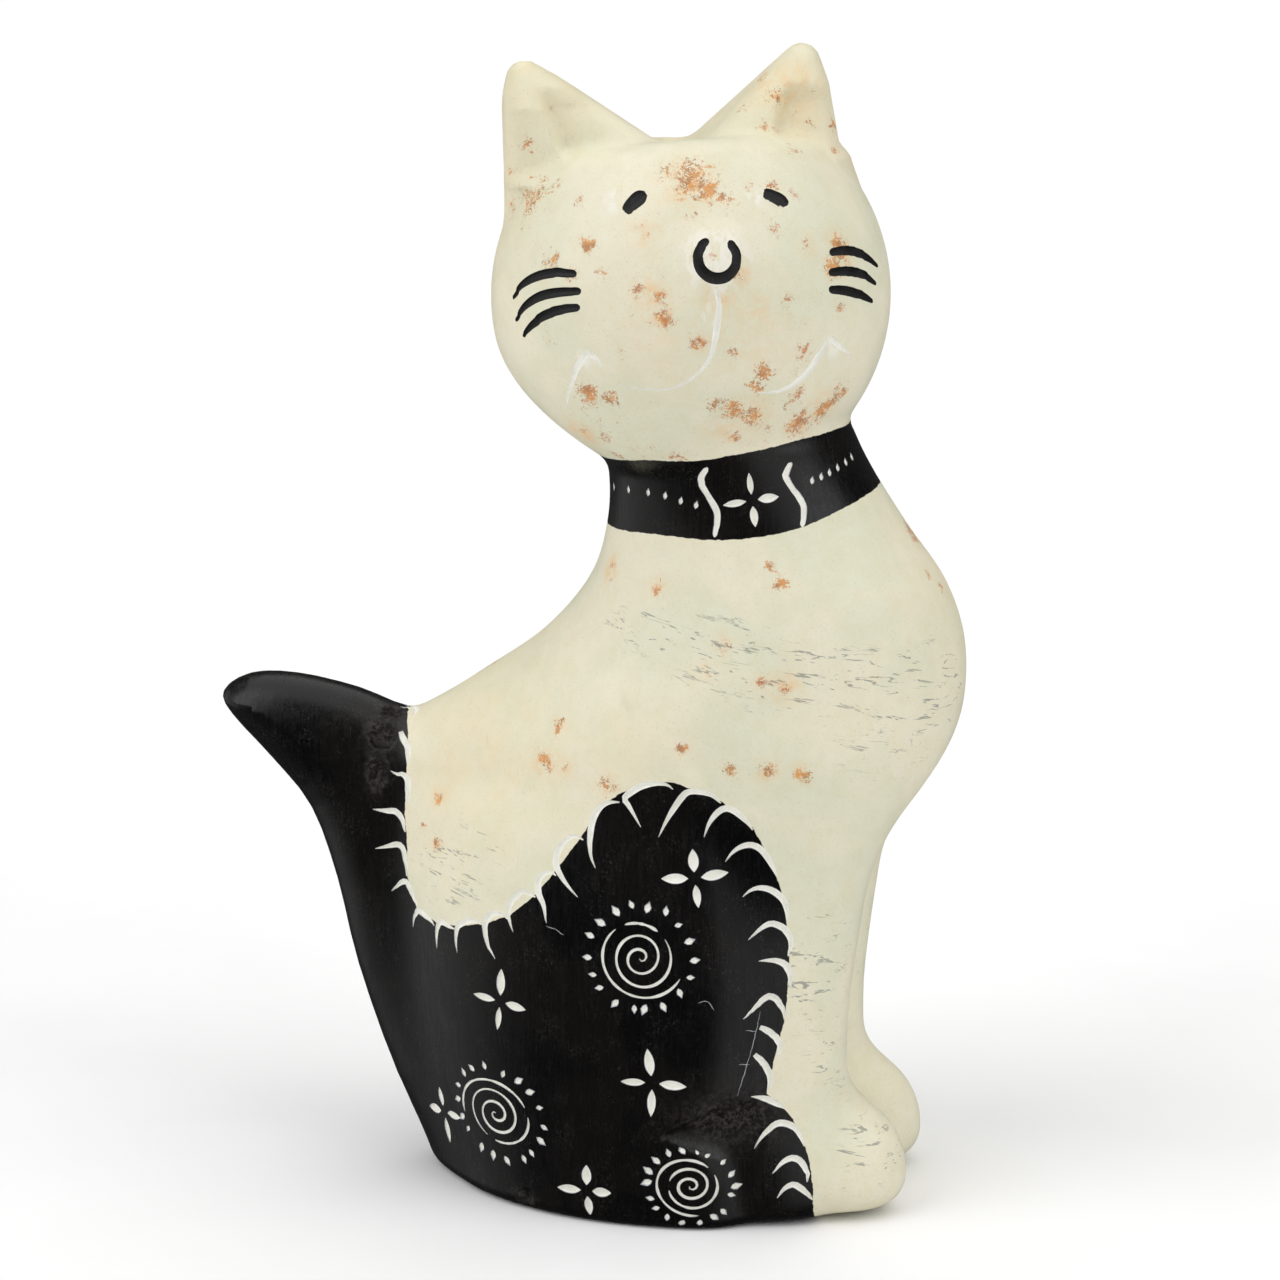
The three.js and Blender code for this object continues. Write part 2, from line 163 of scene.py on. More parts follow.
def haunches(x, y, z):
    side = np.abs(y)
    shape = upright(x, y, through(HIP_FRONT, z), through(HIP_BACK, z), through(HIP_HALF, z),
                    HIP_WIDEST, 2.9, 2)
    shape = within(shape, z - HIP_TOP, 8)
    hind_foot = within(egg(x, side, z, (26.3, 19.6, 8), (6.2, 5.6, 8.5)), -z, 6)
    shape = join(shape, hind_foot, 4)
    scoop = rod(x, side, z, (10.2, 30.4, 17.5), (23.7, 31.7, 18.4), 0.8, 8)
    valley = rod(x, side, z, (22, 31.2, 16), (24, 31.4, 6), 4.8, 2.4)
    return within(within(shape, -scoop, 0.5), -valley, 2.6)


def spline(points, count):
    """Points along a smooth line through the given ones."""
    p = np.array(points, float)
    at = np.linspace(0, len(p) - 1, count + 1)
    i = np.minimum(at.astype(int), len(p) - 1)
    t = (at - i)[:, None]
    a, b = p[np.maximum(i - 1, 0)], p[i]
    c, d = p[np.minimum(i + 1, len(p) - 1)], p[np.minimum(i + 2, len(p) - 1)]
    v0, v1 = (c - a) / 2, (d - b) / 2
    return (2 * b - 2 * c + v0 + v1) * t**3 + (-3 * b + 3 * c - 2 * v0 - v1) * t**2 + v0 * t + b


TAIL_BACK = [(-33.6, -6), (-35.9, 0.7), (-44.3, 16.2), (-51.2, 36.3), (-54.8, 52), (-59.3, 64.9),
             (-66.2, 73.5), (-73.4, 81.2), (-75.1, 85.4), (-70.2, 88.6), (-61.9, 88.9), (-51, 86.8),
             (-41.5, 83.6), (-34, 85), (-24, 86)]
TAIL_ROOT = [(-12, 78), (-15, -6)]
TAIL_EDGE, TAIL_HALF_THICKNESS = 12, 8.5
tail_outline = [*spline(TAIL_BACK, 42), *TAIL_ROOT]


def tail(x, y, z):
    inward = np.maximum(inside_outline(x, z, tail_outline) + TAIL_EDGE, 0)
    return (np.hypot(inward, y * TAIL_EDGE / TAIL_HALF_THICKNESS) - TAIL_EDGE) * 0.85


LEG_FORWARD = [(0, 27), (35, 26.9), (55, 28.1), (90, 30.5)]
LEG_ASIDE = [(0, 12), (35, 12), (68, 10.2), (90, 7.5)]
LEG_RADIUS = [(0, 8.8), (14, 11.5), (35, 11.7), (55, 12.9), (90, 16.5)]
LEG_TOP = 88


def front_legs(x, y, z):
    side = np.abs(y)
    shape = np.hypot(x - through(LEG_FORWARD, z), side - through(LEG_ASIDE, z)) - through(LEG_RADIUS, z)
    shape = within(shape, z - LEG_TOP, 8)
    shape = join(shape, rod(x, side, z, (27, 0, 80), (26, 0, 4), 7.5, 6.5), 4)
    paw = within(egg(x, side, z, (36.3, 12, 7), (12.8, 10.2, 13.6)), -z, 6.5)
    return join(shape, paw, 6)


# The head: a ball turned towards the viewer, with two pricked ears whose hollows are pared out to a crease,
# and a low round nose.
HEAD_CENTRE = np.array([9, -1, 158.1])
HEAD_RADII = (34, 29.5, 34)
TURN, TIP = np.radians(17.8), np.radians(4)
JAW_FLAT, CROWN = 32.8, 25.3
level, upward = np.array([np.cos(TURN), np.sin(TURN), 0]), np.array([0, 0, 1])
head_axes = np.array([level * np.cos(TIP) + upward * np.sin(TIP), [np.sin(TURN), -np.cos(TURN), 0],
                      upward * np.cos(TIP) - level * np.sin(TIP)])
RIGHT_EAR = [(21.6, 37.9), (22.6, 33.5), (23.7, 22.6), (25.4, 20.4), (27.6, 13), (16, 6), (4.1, 22.4)]
LEFT_EAR = [(-25.4, 38.9), (-26, 36), (-27.1, 20), (-27.8, 14), (-18, 6), (-4.6, 22.9)]
EAR_SEAM, BACK_OF_HEAD = (2.4, 6.5), (8, 14)
NOSE_PLACE, NOSE_RADIUS, NOSE_HEIGHT = (0.6, 9.9), 7, 1


def ear(l, d, h, outline, crease_foot, crease_top, depth, run):
    """l is across the head, d forward through the face, h towards the crown."""
    t = (h - crease_foot[1]) / (crease_top[1] - crease_foot[1])
    s = l - (crease_foot[0] + (crease_top[0] - crease_foot[0]) * t)
    slope = np.maximum(np.where(s > 0, depth - run * s, depth + 1.1 * s), 0)
    hollow = slope * np.clip((1.04 - t) * 3, 0, 1) * np.clip((t + 0.25) * 3, 0, 1)
    hug = np.maximum(np.abs(l) - 13, 0) * np.clip((34 - h) / 10, 0, 1)
    front = np.minimum(10 - 0.52 * (h - 24), 10 + 0.9 * (h - 20)) - 0.35 * hug - hollow
    back = within(-15 + 0.62 * (h - 24), -15 - 0.9 * (h - 20), 6) + 0.5 * hug
    return within(inside_outline(l, h, outline) - 3.2, np.maximum(d - front, back - d) * 0.85, 4.5)


def in_head(x, y, z):
    away_from_centre = [x - HEAD_CENTRE[0], y - HEAD_CENTRE[1], z - HEAD_CENTRE[2]]
    return [sum(a * q for a, q in zip(axis, away_from_centre)) for axis in head_axes]


def head(x, y, z):
    l, d, h = in_head(x, y, z)
    ball = within(egg(l, d, h, (0, 0, 0), HEAD_RADII), -0.62 * l - 0.78 * h - JAW_FLAT, 9)
    shape = within(ball, (h - CROWN - 0.2 * d) * 0.98, 4)
    seam = np.interp(-d, BACK_OF_HEAD, EAR_SEAM)
    shape = join(shape, ear(l, d, h, RIGHT_EAR, (15.1, 24.2), (18.6, 34.6), 2.0, 0.2), seam)
    shape = join(shape, ear(l, d, h, LEFT_EAR, (-19.6, 26.3), (-22.8, 36.7), 2.2, 0.17), seam)
    q = np.minimum(((l - NOSE_PLACE[0]) ** 2 + (h - NOSE_PLACE[1]) ** 2) / NOSE_RADIUS**2, 1)
    return shape - np.where(d > 0, NOSE_HEIGHT * (1 - q) ** 2 * (1 + 2 * q), 0)


CHIPS = [((-44.7, -6.7, 80.3), (2.4, 0.9, 2.7)), ((-45.4, -8.5, 73.8), (1.6, 0.8, 3.2)),
         ((-43.6, -3.6, 83.4), (1.9, 1.3, 1.0)), ((-16.1, -24, 2.6), (1.6, 0.7, 1.2)),
         ((-46, 8.3, 77), (1.8, 0.8, 2.4))]
THIGH_EDGE = (2.4, 24.6, 92.9), (13.8, 25.9, 78.8), 0.5, 2.3


def stone(x, y, z):
    shape = join(trunk(x, y, z), haunches(x, y, z), 7)
    shape = join(shape, tail(x, y, z), 8)
    shape = join(shape, front_legs(x, y, z), 6.5)
    shape = join(shape, head(x, y, z), 2)
    shape = join(shape, rod(x, np.abs(y), z, *THIGH_EDGE), 1.6)
    for chip, size in CHIPS:
        shape = within(shape, -egg(x, y, z, chip, size), 0.5)
    return within(shape, -z, 2.6)


# The rubbed-down surface of the stone: the skin of the form in cells about a millimetre across.
CELL = 1.05
BLOCK_LOW, BLOCK_HIGH = np.array([-80.3, -36.2, -3.1]), np.array([62, 36.4, 205])


def slope_of(points):
    """How deep each point lies, and which way is straight out of the stone."""
    depth = stone(*points.T)
    out = np.stack([stone(*(points + 0.03 * axis).T) - depth for axis in np.eye(3)], 1) / 0.03
    return depth, out


def settled(points, passes=3):
    """The points, moved straight onto the surface."""
    for _ in range(passes):
        depth, out = slope_of(points)
        points = points - out * np.clip(depth / np.maximum((out**2).sum(1), 0.05), -0.8, 0.8)[:, None]
    return points


def skin(low, high, cell):
    """The surface as quads, with one point in each cell that it crosses."""
    count = np.ceil((high - low) / cell).astype(int) + 1
    axes = [a + cell * np.arange(n) for a, n in zip(low, count)]
    depth = np.concatenate([stone(*np.meshgrid(part, axes[1], axes[2], indexing="ij"))
                            for part in np.array_split(axes[0], 12)])
    solid = depth < 0
    corners = [(i, j, k) for i in (0, 1) for j in (0, 1) for k in (0, 1)]
    filled = sum(solid[i:count[0] - 1 + i, j:count[1] - 1 + j, k:count[2] - 1 + k].astype(int)
                 for i, j, k in corners)
    crossed = (filled > 0) & (filled < 8)
    point_of = np.full(crossed.shape, -1)
    point_of[crossed] = np.arange(crossed.sum())
    cells = np.argwhere(crossed)
    total, crossings = np.zeros((len(cells), 3)), np.zeros(len(cells))
    for corner in corners:
        for axis in range(3):
            if corner[axis]:
                continue
            other = np.array(corner)
            other[axis] = 1
            a, b = depth[tuple((cells + corner).T)], depth[tuple((cells + other).T)]
            cut = (a < 0) != (b < 0)
            place = np.tile(np.array(corner, float), (len(cells), 1))
            place[:, axis] += np.where(cut, a / np.where(cut, a - b, 1), 0)
            total += place * cut[:, None]
            crossings += cut
    points = (cells + total / crossings[:, None]) * cell + low
    faces = []
    for axis in range(3):
        u, v = (axis + 1) % 3, (axis + 2) % 3
        near, far = [slice(None)] * 3, [slice(None)] * 3
        near[axis], far[axis] = slice(0, -1), slice(1, None)
        edge = np.argwhere(solid[tuple(near)] != solid[tuple(far)])
        edge = edge[(edge[:, u] > 0) & (edge[:, v] > 0)]
        around = []
        for du, dv in ((1, 1), (0, 1), (0, 0), (1, 0)):
            cell_at = edge.copy()
            cell_at[:, u] -= du
            cell_at[:, v] -= dv
            around.append(point_of[tuple(cell_at.T)])
        ring = np.stack(around, 1)
        outward = solid[tuple(edge.T)]
        faces.append(np.where(outward[:, None], ring, ring[:, ::-1]))
    return points, np.concatenate(faces)


points, faces = skin(BLOCK_LOW, BLOCK_HIGH, CELL)
points = settled(points)
points[np.abs(points[:, 2]) < 0.05, 2] = 0
middle = (points.min(0) + points.max(0)) / 2
frame_size = (frame_high.z - frame_low.z) / (points[:, 2].max() - points[:, 2].min())
frame_shift = np.array([(frame_low.x + frame_high.x) / 2, (frame_low.y + frame_high.y) / 2, frame_low.z])


def placed(mm):
    """From carving millimetres to the frame's metres."""
    return (mm - [middle[0], middle[1], 0]) * frame_size + frame_shift


def carving_mm(metres):
    return (metres - frame_shift) / frame_size + [middle[0], middle[1], 0]


def new_piece(name, points, faces, *materials):
    mesh = bpy.data.meshes.new(name)
    mesh.from_pydata(placed(points).tolist(), [], [list(map(int, f)) for f in faces])
    for material in materials:
        mesh.materials.append(material)
    piece = bpy.data.objects.new(name, mesh)
    bpy.context.scene.collection.objects.link(piece)
    return piece


polished_stone = bpy.data.materials.new("polished_stone")
fresh_scratch = bpy.data.materials.new("fresh_scratch")
black_fill = bpy.data.materials.new("black_fill")
cat = new_piece("soapstone_cat", points, faces, polished_stone)

# The scratched and carved lines: each is one stroke of a knife or needle point, a shallow groove cut
# through the polish. Pale ones show the bare stone, and those of the face are filled with black.


def lengths(line):
    """How far along the line each of its points lies."""
    return np.r_[0, np.cumsum(np.linalg.norm(np.diff(line, axis=0), axis=1))]


def evenly(line, step):
    """The line with points about one step apart."""
    along = lengths(line)
    at = np.linspace(0, along[-1], max(int(np.ceil(along[-1] / step)), 3) + 1)
    return np.stack([np.interp(at, along, line[:, c]) for c in range(line.shape[1])], 1)


def inwards(start, direction, far):
    """Where points that move straight inwards first meet the stone."""
    reach = np.arange(0, far, 0.5)
    track = start[:, None] + np.broadcast_to(direction, start.shape)[:, None] * reach[:, None]
    depth = stone(*track.reshape(-1, 3).T).reshape(len(start), -1)
    met = depth < 0
    first = np.where(met.any(1), met.argmax(1), depth.argmin(1))
    return settled(track[np.arange(len(start)), first], 6)


def on_flank(side_view, side):
    """Points (forward, up) of the side view, on the cat's right flank (side -1) or its left (side 1)."""
    forward, up = np.array(side_view, float).T
    start = np.stack([forward, np.full_like(forward, side * 42.0), up], 1)
    return inwards(start, np.array([0.0, -side, 0.0]), 42)


def on_face(face_view):
    """Points (across, up) of the head's own front view, on the face."""
    across, up = np.array(face_view, float).T
    start = HEAD_CENTRE + np.outer(across, head_axes[0]) + np.outer(up, head_axes[2]) + 42 * head_axes[1]
    return inwards(start, -head_axes[1], 42)


eye_place = carving_mm(np.array(camera.location))
SIGHT_START, SIGHT_DEPTH = 560, 200
sight_ahead = -np.array(away)
sight_right = np.array([np.cos(VIEW_AROUND), np.sin(VIEW_AROUND), 0])
sight_down = np.cross(sight_ahead, sight_right)


def in_sight(places):
    """Pixels (right, down) of the photograph, followed along their lines of sight to the stone."""
    right, down = (np.array(places, float).T - PHOTO_SIZE / 2) / PHOTO_REACH
    direction = sight_ahead + np.outer(right, sight_right) + np.outer(down, sight_down)
    direction /= np.linalg.norm(direction, axis=1)[:, None]
    return inwards(eye_place + SIGHT_START * direction, direction, SIGHT_DEPTH)


def side_view(places):
    """The same, as (forward, up) of the side view."""
    return in_sight(places)[:, [0, 2]]


GROOVE = [(-1.3, None), (-1, 0), (-0.62, -0.72), (0, -1), (0.62, -0.72), (1, 0), (1.3, None)]
CLEAR = 0.45


def stroke(line, half_width, depth, blunt=False):
    """The stone that one stroke takes out: (points, faces). The widths run along the line."""
    out = slope_of(line)[1]
    out /= np.linalg.norm(out, axis=1)[:, None]
    ahead = np.gradient(line, axis=0)
    aside = np.cross(out, ahead)
    aside /= np.linalg.norm(aside, axis=1)[:, None]
    width = np.interp(np.linspace(0, 1, len(line)), np.linspace(0, 1, len(half_width)), half_width)
    if blunt:
        along = lengths(line)
        from_end = np.clip(np.minimum(along, along[-1] - along) / width, 0.08, 1)
        width = width * np.sqrt(from_end * (2 - from_end))
    deep = depth * np.sqrt(width / np.max(width))
    rings = [line + aside * (a * width)[:, None] + out * (CLEAR if b is None else b * deep[:, None])
             for a, b in GROOVE]
    n, m = len(line), len(GROOVE)
    points = np.stack(rings, 1).reshape(-1, 3)
    faces = [(i * m + j, i * m + (j + 1) % m, (i + 1) * m + (j + 1) % m, (i + 1) * m + j)
             for i in range(n - 1) for j in range(m)]
    return points, [*faces, tuple(range(m))[::-1], tuple(range((n - 1) * m, n * m))]


SEED = [1.4, 0.72, 0.54, 0.74, 0.54, 0.72]


def pit(centre, direction, size, depth):
    """A seed-shaped pit from one push of a graver."""
    out = slope_of(centre[None])[1][0]
    out /= np.linalg.norm(out)
    direction = direction - out * (direction @ out)
    direction /= np.linalg.norm(direction)
    aside = np.cross(out, direction)
    sides = len(SEED)
    turns = np.arange(sides) * 2 * np.pi / sides
    rim = np.array([size * r * (np.cos(a) * direction + np.sin(a) * aside) for r, a in zip(SEED, turns)])
    points = np.concatenate([centre + rim * 1.15 + out * CLEAR, centre + rim, [centre - out * depth]])
    sides_of = [(k, (k + 1) % sides) for k in range(sides)]
    faces = [(a, a + sides, b + sides, b) for a, b in sides_of]
    faces += [(a + sides, 2 * sides, b + sides) for a, b in sides_of]
    return points, [*faces, tuple(range(sides))]


def cut(piece, strokes, material):
    """Takes the strokes out of the piece. Strokes that cross each other go in separate calls."""
    points, faces = [], []
    for p, f in strokes:
        start = sum(map(len, points))
        points.append(p)
        faces += [tuple(start + i for i in face) for face in f]
    tool = new_piece("tool", np.concatenate(points), faces, material)
    shaped = bmesh.new()
    shaped.from_mesh(tool.data)
    bmesh.ops.triangulate(shaped, faces=shaped.faces)
    bmesh.ops.recalc_face_normals(shaped, faces=shaped.faces)
    shaped.to_mesh(tool.data)
    shaped.free()
    removal = piece.modifiers.new("removal", "BOOLEAN")
    removal.object, removal.operation, removal.solver = tool, "DIFFERENCE", "MANIFOLD"
    removal.material_mode = "TRANSFER"
    depsgraph = bpy.context.evaluated_depsgraph_get()
    carved = bpy.data.meshes.new_from_object(piece.evaluated_get(depsgraph), depsgraph=depsgraph)
    piece.modifiers.clear()
    rough = piece.data
    piece.data = carved
    bpy.data.meshes.remove(rough)
    bpy.data.objects.remove(tool)


# The dyed flank: the back of the cat from the tail to the hind foot is dyed black, up to a wavy border
# that runs over the thigh, with whip stitches hooked over it. Both lists are read off the photograph in
# pixels, and the far side repeats them.
BORDER = [(412, 705), (409, 735), (407, 774), (406, 814), (407, 841), (409, 877), (418, 909), (439, 923),
          (459, 926), (487, 923), (511, 915), (538, 893), (556, 871), (582, 836), (601, 806), (621, 793),
          (649, 782), (673, 782), (696, 790), (724, 802), (752, 826), (770, 857), (781, 889), (787, 925),
          (789, 960), (787, 1000), (783, 1023), (777, 1047), (770, 1075), (766, 1093), (775, 1100),
          (791, 1116), (801, 1134), (809, 1162), (813, 1189), (813, 1203)]
BORDER_TOP = (-41.2, 88)
border = [BORDER_TOP, *side_view(BORDER)]
DYED = [*border, (34, -9), (-95, -9), (-95, 105), (-41.5, 105)]
# Each stitch, from its point in the dyed stone to the border and along it to the next
CLAWS = [[(399, 709), (409, 709), (416, 707), (416, 712), (413, 718)],
         [(401, 733), (404, 740), (408, 747), (409, 756), (409, 765)],
         [(391, 771), (397, 774), (403, 774), (408, 779), (409, 790), (408, 806)],
         [(373, 809), (388, 811), (397, 811), (404, 820), (406, 832)],
         [(376, 848), (388, 846), (400, 844), (405, 850), (407, 863), (408, 876)],
         [(392, 891), (399, 885), (406, 881), (411, 888), (416, 899), (418, 906)],
         [(414, 927), (416, 917), (419, 911), (426, 915), (433, 921), (436, 926)],
         [(438, 949), (438, 936), (440, 923), (445, 922), (450, 926), (456, 929)],
         [(458, 953), (457, 941), (458, 928), (465, 922), (474, 920), (481, 923), (484, 925)],
         [(496, 959), (489, 945), (486, 932), (486, 925), (490, 916), (497, 913), (506, 916), (509, 919)],
         [(515, 932), (511, 921), (510, 908), (514, 899), (523, 891), (530, 894), (536, 897)],
         [(547, 923), (544, 905), (539, 894), (539, 881), (545, 874), (552, 872), (557, 876)],
         [(578, 897), (568, 885), (559, 872), (556, 861), (560, 848), (568, 839), (576, 836), (584, 840)],
         [(596, 868), (592, 857), (590, 845), (592, 828), (596, 814), (603, 805), (612, 802), (620, 802)],
         [(641, 827), (628, 804), (624, 799), (630, 793), (641, 786), (656, 783), (668, 784), (674, 788)],
         [(659, 837), (668, 818), (682, 797), (691, 791), (709, 793), (721, 802)],
         [(704, 837), (710, 821), (721, 809), (732, 809), (747, 821), (753, 829)],
         [(725, 862), (735, 850), (750, 844), (762, 850), (772, 865), (777, 877)],
         [(742, 897), (750, 890), (760, 887), (772, 890), (782, 898), (786, 908), (787, 920)],
         [(747, 940), (758, 930), (770, 923), (782, 927), (788, 934), (790, 944), (788, 956)],
         [(758, 961), (768, 960), (778, 961), (786, 966), (789, 974), (789, 988)],
         [(743, 1019), (754, 1008), (764, 998), (771, 996), (778, 1002), (783, 1012), (784, 1020)],
         [(759, 1027), (768, 1031), (776, 1038), (779, 1046), (778, 1056)],
         [(753, 1054), (760, 1060), (767, 1070), (769, 1080), (766, 1090)],
         [(750, 1096), (762, 1098), (772, 1101), (784, 1108)],
         [(754, 1149), (764, 1134), (776, 1123), (788, 1124), (798, 1132), (804, 1146)],
         [(772, 1173), (782, 1162), (793, 1158), (802, 1164), (807, 1174), (807, 1182)],
         [(777, 1198), (784, 1188), (793, 1184), (804, 1191), (812, 1199)]]
claw_lines = [evenly(spline(side_view(places), 24), 0.7) for places in CLAWS]
CLAW_HALF = [0.08, 0.3, 0.52, 0.62, 0.6, 0.42, 0.12]
BLUNT_CLAWS, BLUNT_HALF = (1, 22, 23), [0.42, 0.6, 0.62, 0.6, 0.45, 0.14]


def claw(number, side):
    line = evenly(on_flank(claw_lines[number], side), 0.75)
    return stroke(line, BLUNT_HALF if number in BLUNT_CLAWS else CLAW_HALF, 0.42)


for first in (0, 1):
    cut(cat, [claw(number, side) for number in range(first, len(CLAWS), 2) for side in (-1, 1)], fresh_scratch)

# The flowers and suns of the flank: four petals are four pushes of a gouge, and a sun is one spiral
# scratch with a ring of pits round it. The hidden flank has fewer.
FLOWERS = {-1: [(14.2, 63, 8, 1), (-19.9, 38.5, -4, 1), (7.5, 27.3, 2, 1.12), (-4.4, 6.1, 3, 0.98),
                (-32.8, 13.2, 6, 1)],
           1: [(12, 60, -6, 1), (-18, 36, 5, 1.05), (2, 10, 0, 0.95)]}
SUNS = {-1: [(5.3, 49.2, 8.9, 8.9, 200), (-21.4, 17.2, 9.9, 8.3, 60), (13.9, 8.6, 7.6, 6.9, 150)],
        1: [(6, 38, 8.8, 8.8, 30), (-20, 15, 8.6, 8.2, 160)]}
PETAL_START, PETAL_END, PETAL_HALF = 1.1, 5.6, 0.98
PETAL = [0.08, 0.58, 0.92, 1, 0.98, 0.82, 0.5, 0.08]
SPIRAL_TURNS, SPIRAL_HALF, SPIRAL_SHARE = 3.4, 0.24, 0.84
SUN_RAYS, RAY_SIZE = 18, 0.98
chance = np.random.default_rng(7)


def tangents(centre, toward):
    """Directions along the surface at a point: towards the front of the cat, and up."""
    out = slope_of(centre[None])[1][0]
    out /= np.linalg.norm(out)
    up = upward - out * out[2]
    up /= np.linalg.norm(up)
    forward = np.cross(up, out) * toward
    return forward, up


def flower(centre, toward, tilt, size=1.0):
    """Four petals round a bare middle."""
    forward, up = tangents(centre, toward)
    petals = []
    for quarter in range(4):
        turn = np.radians(tilt + 90 * quarter + chance.uniform(-7, 7))
        direction = np.cos(turn) * forward + np.sin(turn) * up
        start, end = PETAL_START * size, PETAL_END * size * chance.uniform(0.82, 1.06)
        line = settled(centre + np.outer(np.linspace(start, end, 9), direction), 4)
        petals.append(stroke(line, np.array(PETAL) * PETAL_HALF * size * chance.uniform(0.62, 1.02), 0.45))
    return petals


def sun(centre, toward, wide, tall, tilt):
    """One spiral line, wound outwards and lifted here and there, and its ring of pits."""
    forward, up = tangents(centre, toward)
    turn = np.linspace(0.5, SPIRAL_TURNS * 2 * np.pi, 300)
    reach = SPIRAL_SHARE * turn / turn[-1] * (1 + 0.035 * np.sin(turn * 1.7 + wide))
    wound = np.radians(tilt) + turn
    plan = np.outer(wide * reach * np.cos(wound), forward) + np.outer(tall * reach * np.sin(wound), up)
    line = evenly(settled(centre + plan, 4), 0.6)
    lifts = np.r_[0, np.sort(chance.integers(len(line) // 3, len(line) - 12, 2)), len(line)]
    marks = []
    for start, end in zip(lifts, lifts[1:]):
        if end - start > 8:
            widths = SPIRAL_HALF * chance.uniform(0.75, 1.3, 14)
            marks.append(stroke(line[start:end - 2], [0.1, *widths, 0.08], 0.24))
    for ray in range(SUN_RAYS):
        at = 2 * np.pi * (ray + chance.uniform(-0.22, 0.22)) / SUN_RAYS
        away = 1 + chance.uniform(-0.04, 0.04)
        aside = away * (wide * np.cos(at) * forward + tall * np.sin(at) * up)
        place = settled((centre + aside)[None], 4)[0]
        spin = aside / wide + chance.uniform(-0.6, 0.6) * np.cross(aside / wide, np.cross(forward, up))
        marks.append(pit(place, spin, RAY_SIZE * chance.uniform(0.75, 1.15), 0.35))
    return marks


flank_marks = []
for side in (-1, 1):
    for forward, up, tilt, size in FLOWERS[side]:
        flank_marks += flower(on_flank([(forward, up)], side)[0], -side, tilt, size)
    for forward, up, wide, tall, tilt in SUNS[side]:
        flank_marks += sun(on_flank([(forward, up)], side)[0], -side, wide, tall, tilt)
cut(cat, flank_marks, fresh_scratch)
SLIPS = [[(760, 1011), (752, 1046), (737, 1096)], [(745, 1030), (756, 1031)], [(738, 1064), (749, 1064)],
         [(698, 1003), (707, 1001), (714, 1010)], [(546, 926), (556, 929), (564, 935)]]
SLIP_HALF = [0.03, 0.08, 0.05, 0.09, 0.03]
for slip in SLIPS:
    cut(cat, [stroke(evenly(in_sight(spline(slip, 20)), 0.7), SLIP_HALF, 0.07)], fresh_scratch)

# The collar: a black band round the neck, dyed and not raised. On the side that faces the viewer it has two
# wavy lines with a flower between them, and rows of pits run round the rest.
COLLAR_TOP = [(-12, 131.4), (-4, 131.9), (5.4, 133.1), (12.3, 133.3), (19.7, 134.5), (26.8, 135.8),
              (32.6, 136.7), (38, 136.9)]
COLLAR_FOOT = [(-12, 118.6), (-4, 119.1), (6.8, 120.1), (17.4, 120.2), (24.1, 120.9), (30.5, 122.2),
               (37.2, 124.7), (44, 127.4)]
WAVES = [[(708, 467), (701, 480), (709, 496), (717, 511), (717, 524), (715, 537)],
         [(791, 463), (785, 476), (794, 491), (803, 505), (803, 517), (802, 527)]]
WAVE_HALF = [0.42, 0.64, 0.52, 0.62, 0.56, 0.4]
PIT_ROWS = {-1: [[(-2.9, 125.9), (0.6, 126.5), (4.5, 126.8), (7.8, 126.7), (10.6, 126.1), (13.2, 125.6)],
                 [(31.9, 129.4), (33.2, 129.8), (34.5, 130.3), (35.6, 130.8), (36.6, 131.3), (37.4, 131.8)]],
            1: [[(-3, 126), (1.5, 126.4), (6, 126.7), (10.5, 126.9), (15, 127.3), (19.5, 127.9), (24, 128.6),
                 (28.5, 129.5), (32.5, 130.4)]]}
COLLAR_FLOWER = (22.6, 126.9)

collar_marks = [stroke(evenly(in_sight(spline(wave, 30)), 0.5), WAVE_HALF, 0.35, blunt=True) for wave in WAVES]
collar_marks += flower(on_flank([COLLAR_FLOWER], -1)[0], 1, 4, 0.9)
for side, rows in PIT_ROWS.items():
    for row in rows:
        collar_marks += [pit(place, upward + 0.3 * level, 0.72, 0.32) for place in on_flank(row, side)]
cut(cat, collar_marks, fresh_scratch)

# The face: two eyes, a horseshoe nose and three whiskers a side are broad grooves filled with black. The
# mouth is only scratched, a long hooked line from the nose and a smile at each cheek.
EYES = [[(-12.8, 17.6), (-11.9, 18.8), (-10.5, 20), (-9.4, 20.6)],
        [(9.7, 18.8), (11, 18.4), (12.4, 17.6), (13.2, 16.6)]]
EYE_HALF = [[1.0, 1.15, 1.3, 1.42, 1.4, 1.3], [1.15, 1.2, 1.2, 1.28, 1.3, 1.2]]
NOSE_RING, NOSE_GAP = 3.15, (110, 410)
NOSE_HALF = [0.72, 0.84, 0.9, 1.0, 1.08, 1.06, 0.97, 0.88, 0.86, 0.76]
WHISKERS = [[(-21.6, 8.3), (-24.6, 8.5), (-27.4, 7.8), (-29.7, 6.2), (-31.3, 3.6)],
            [(-21.2, 5.6), (-24.3, 5.4), (-27.2, 4.6), (-29.5, 2.8), (-31.2, 0.1)],
            [(-21.5, 3), (-24.2, 2.6), (-26.7, 1.6), (-28.8, -0.2), (-30.3, -2.4)],
            [(20.1, 8.3), (22.5, 8.2), (24.9, 7.6), (27.4, 6.2), (29.7, 4.1)],
            [(19.6, 5.2), (22, 5), (24.5, 4.4), (26.8, 3.3), (28.9, 1.4)],
            [(19.4, 2.5), (21.6, 2), (23.6, 1.3), (25.9, 0.2), (28, -1.4)]]
WHISKER_HALF = [0.62, 0.76, 0.84, 0.84, 0.76, 0.58, 0.34]
MOUTH = [(-0.1, 5.4), (0.3, 2.3), (-0.4, -1.8), (-1.5, -5.8), (-3.7, -8.6), (-7, -10.6), (-11.2, -11),
         (-14.8, -10.3), (-16.3, -9.9)]
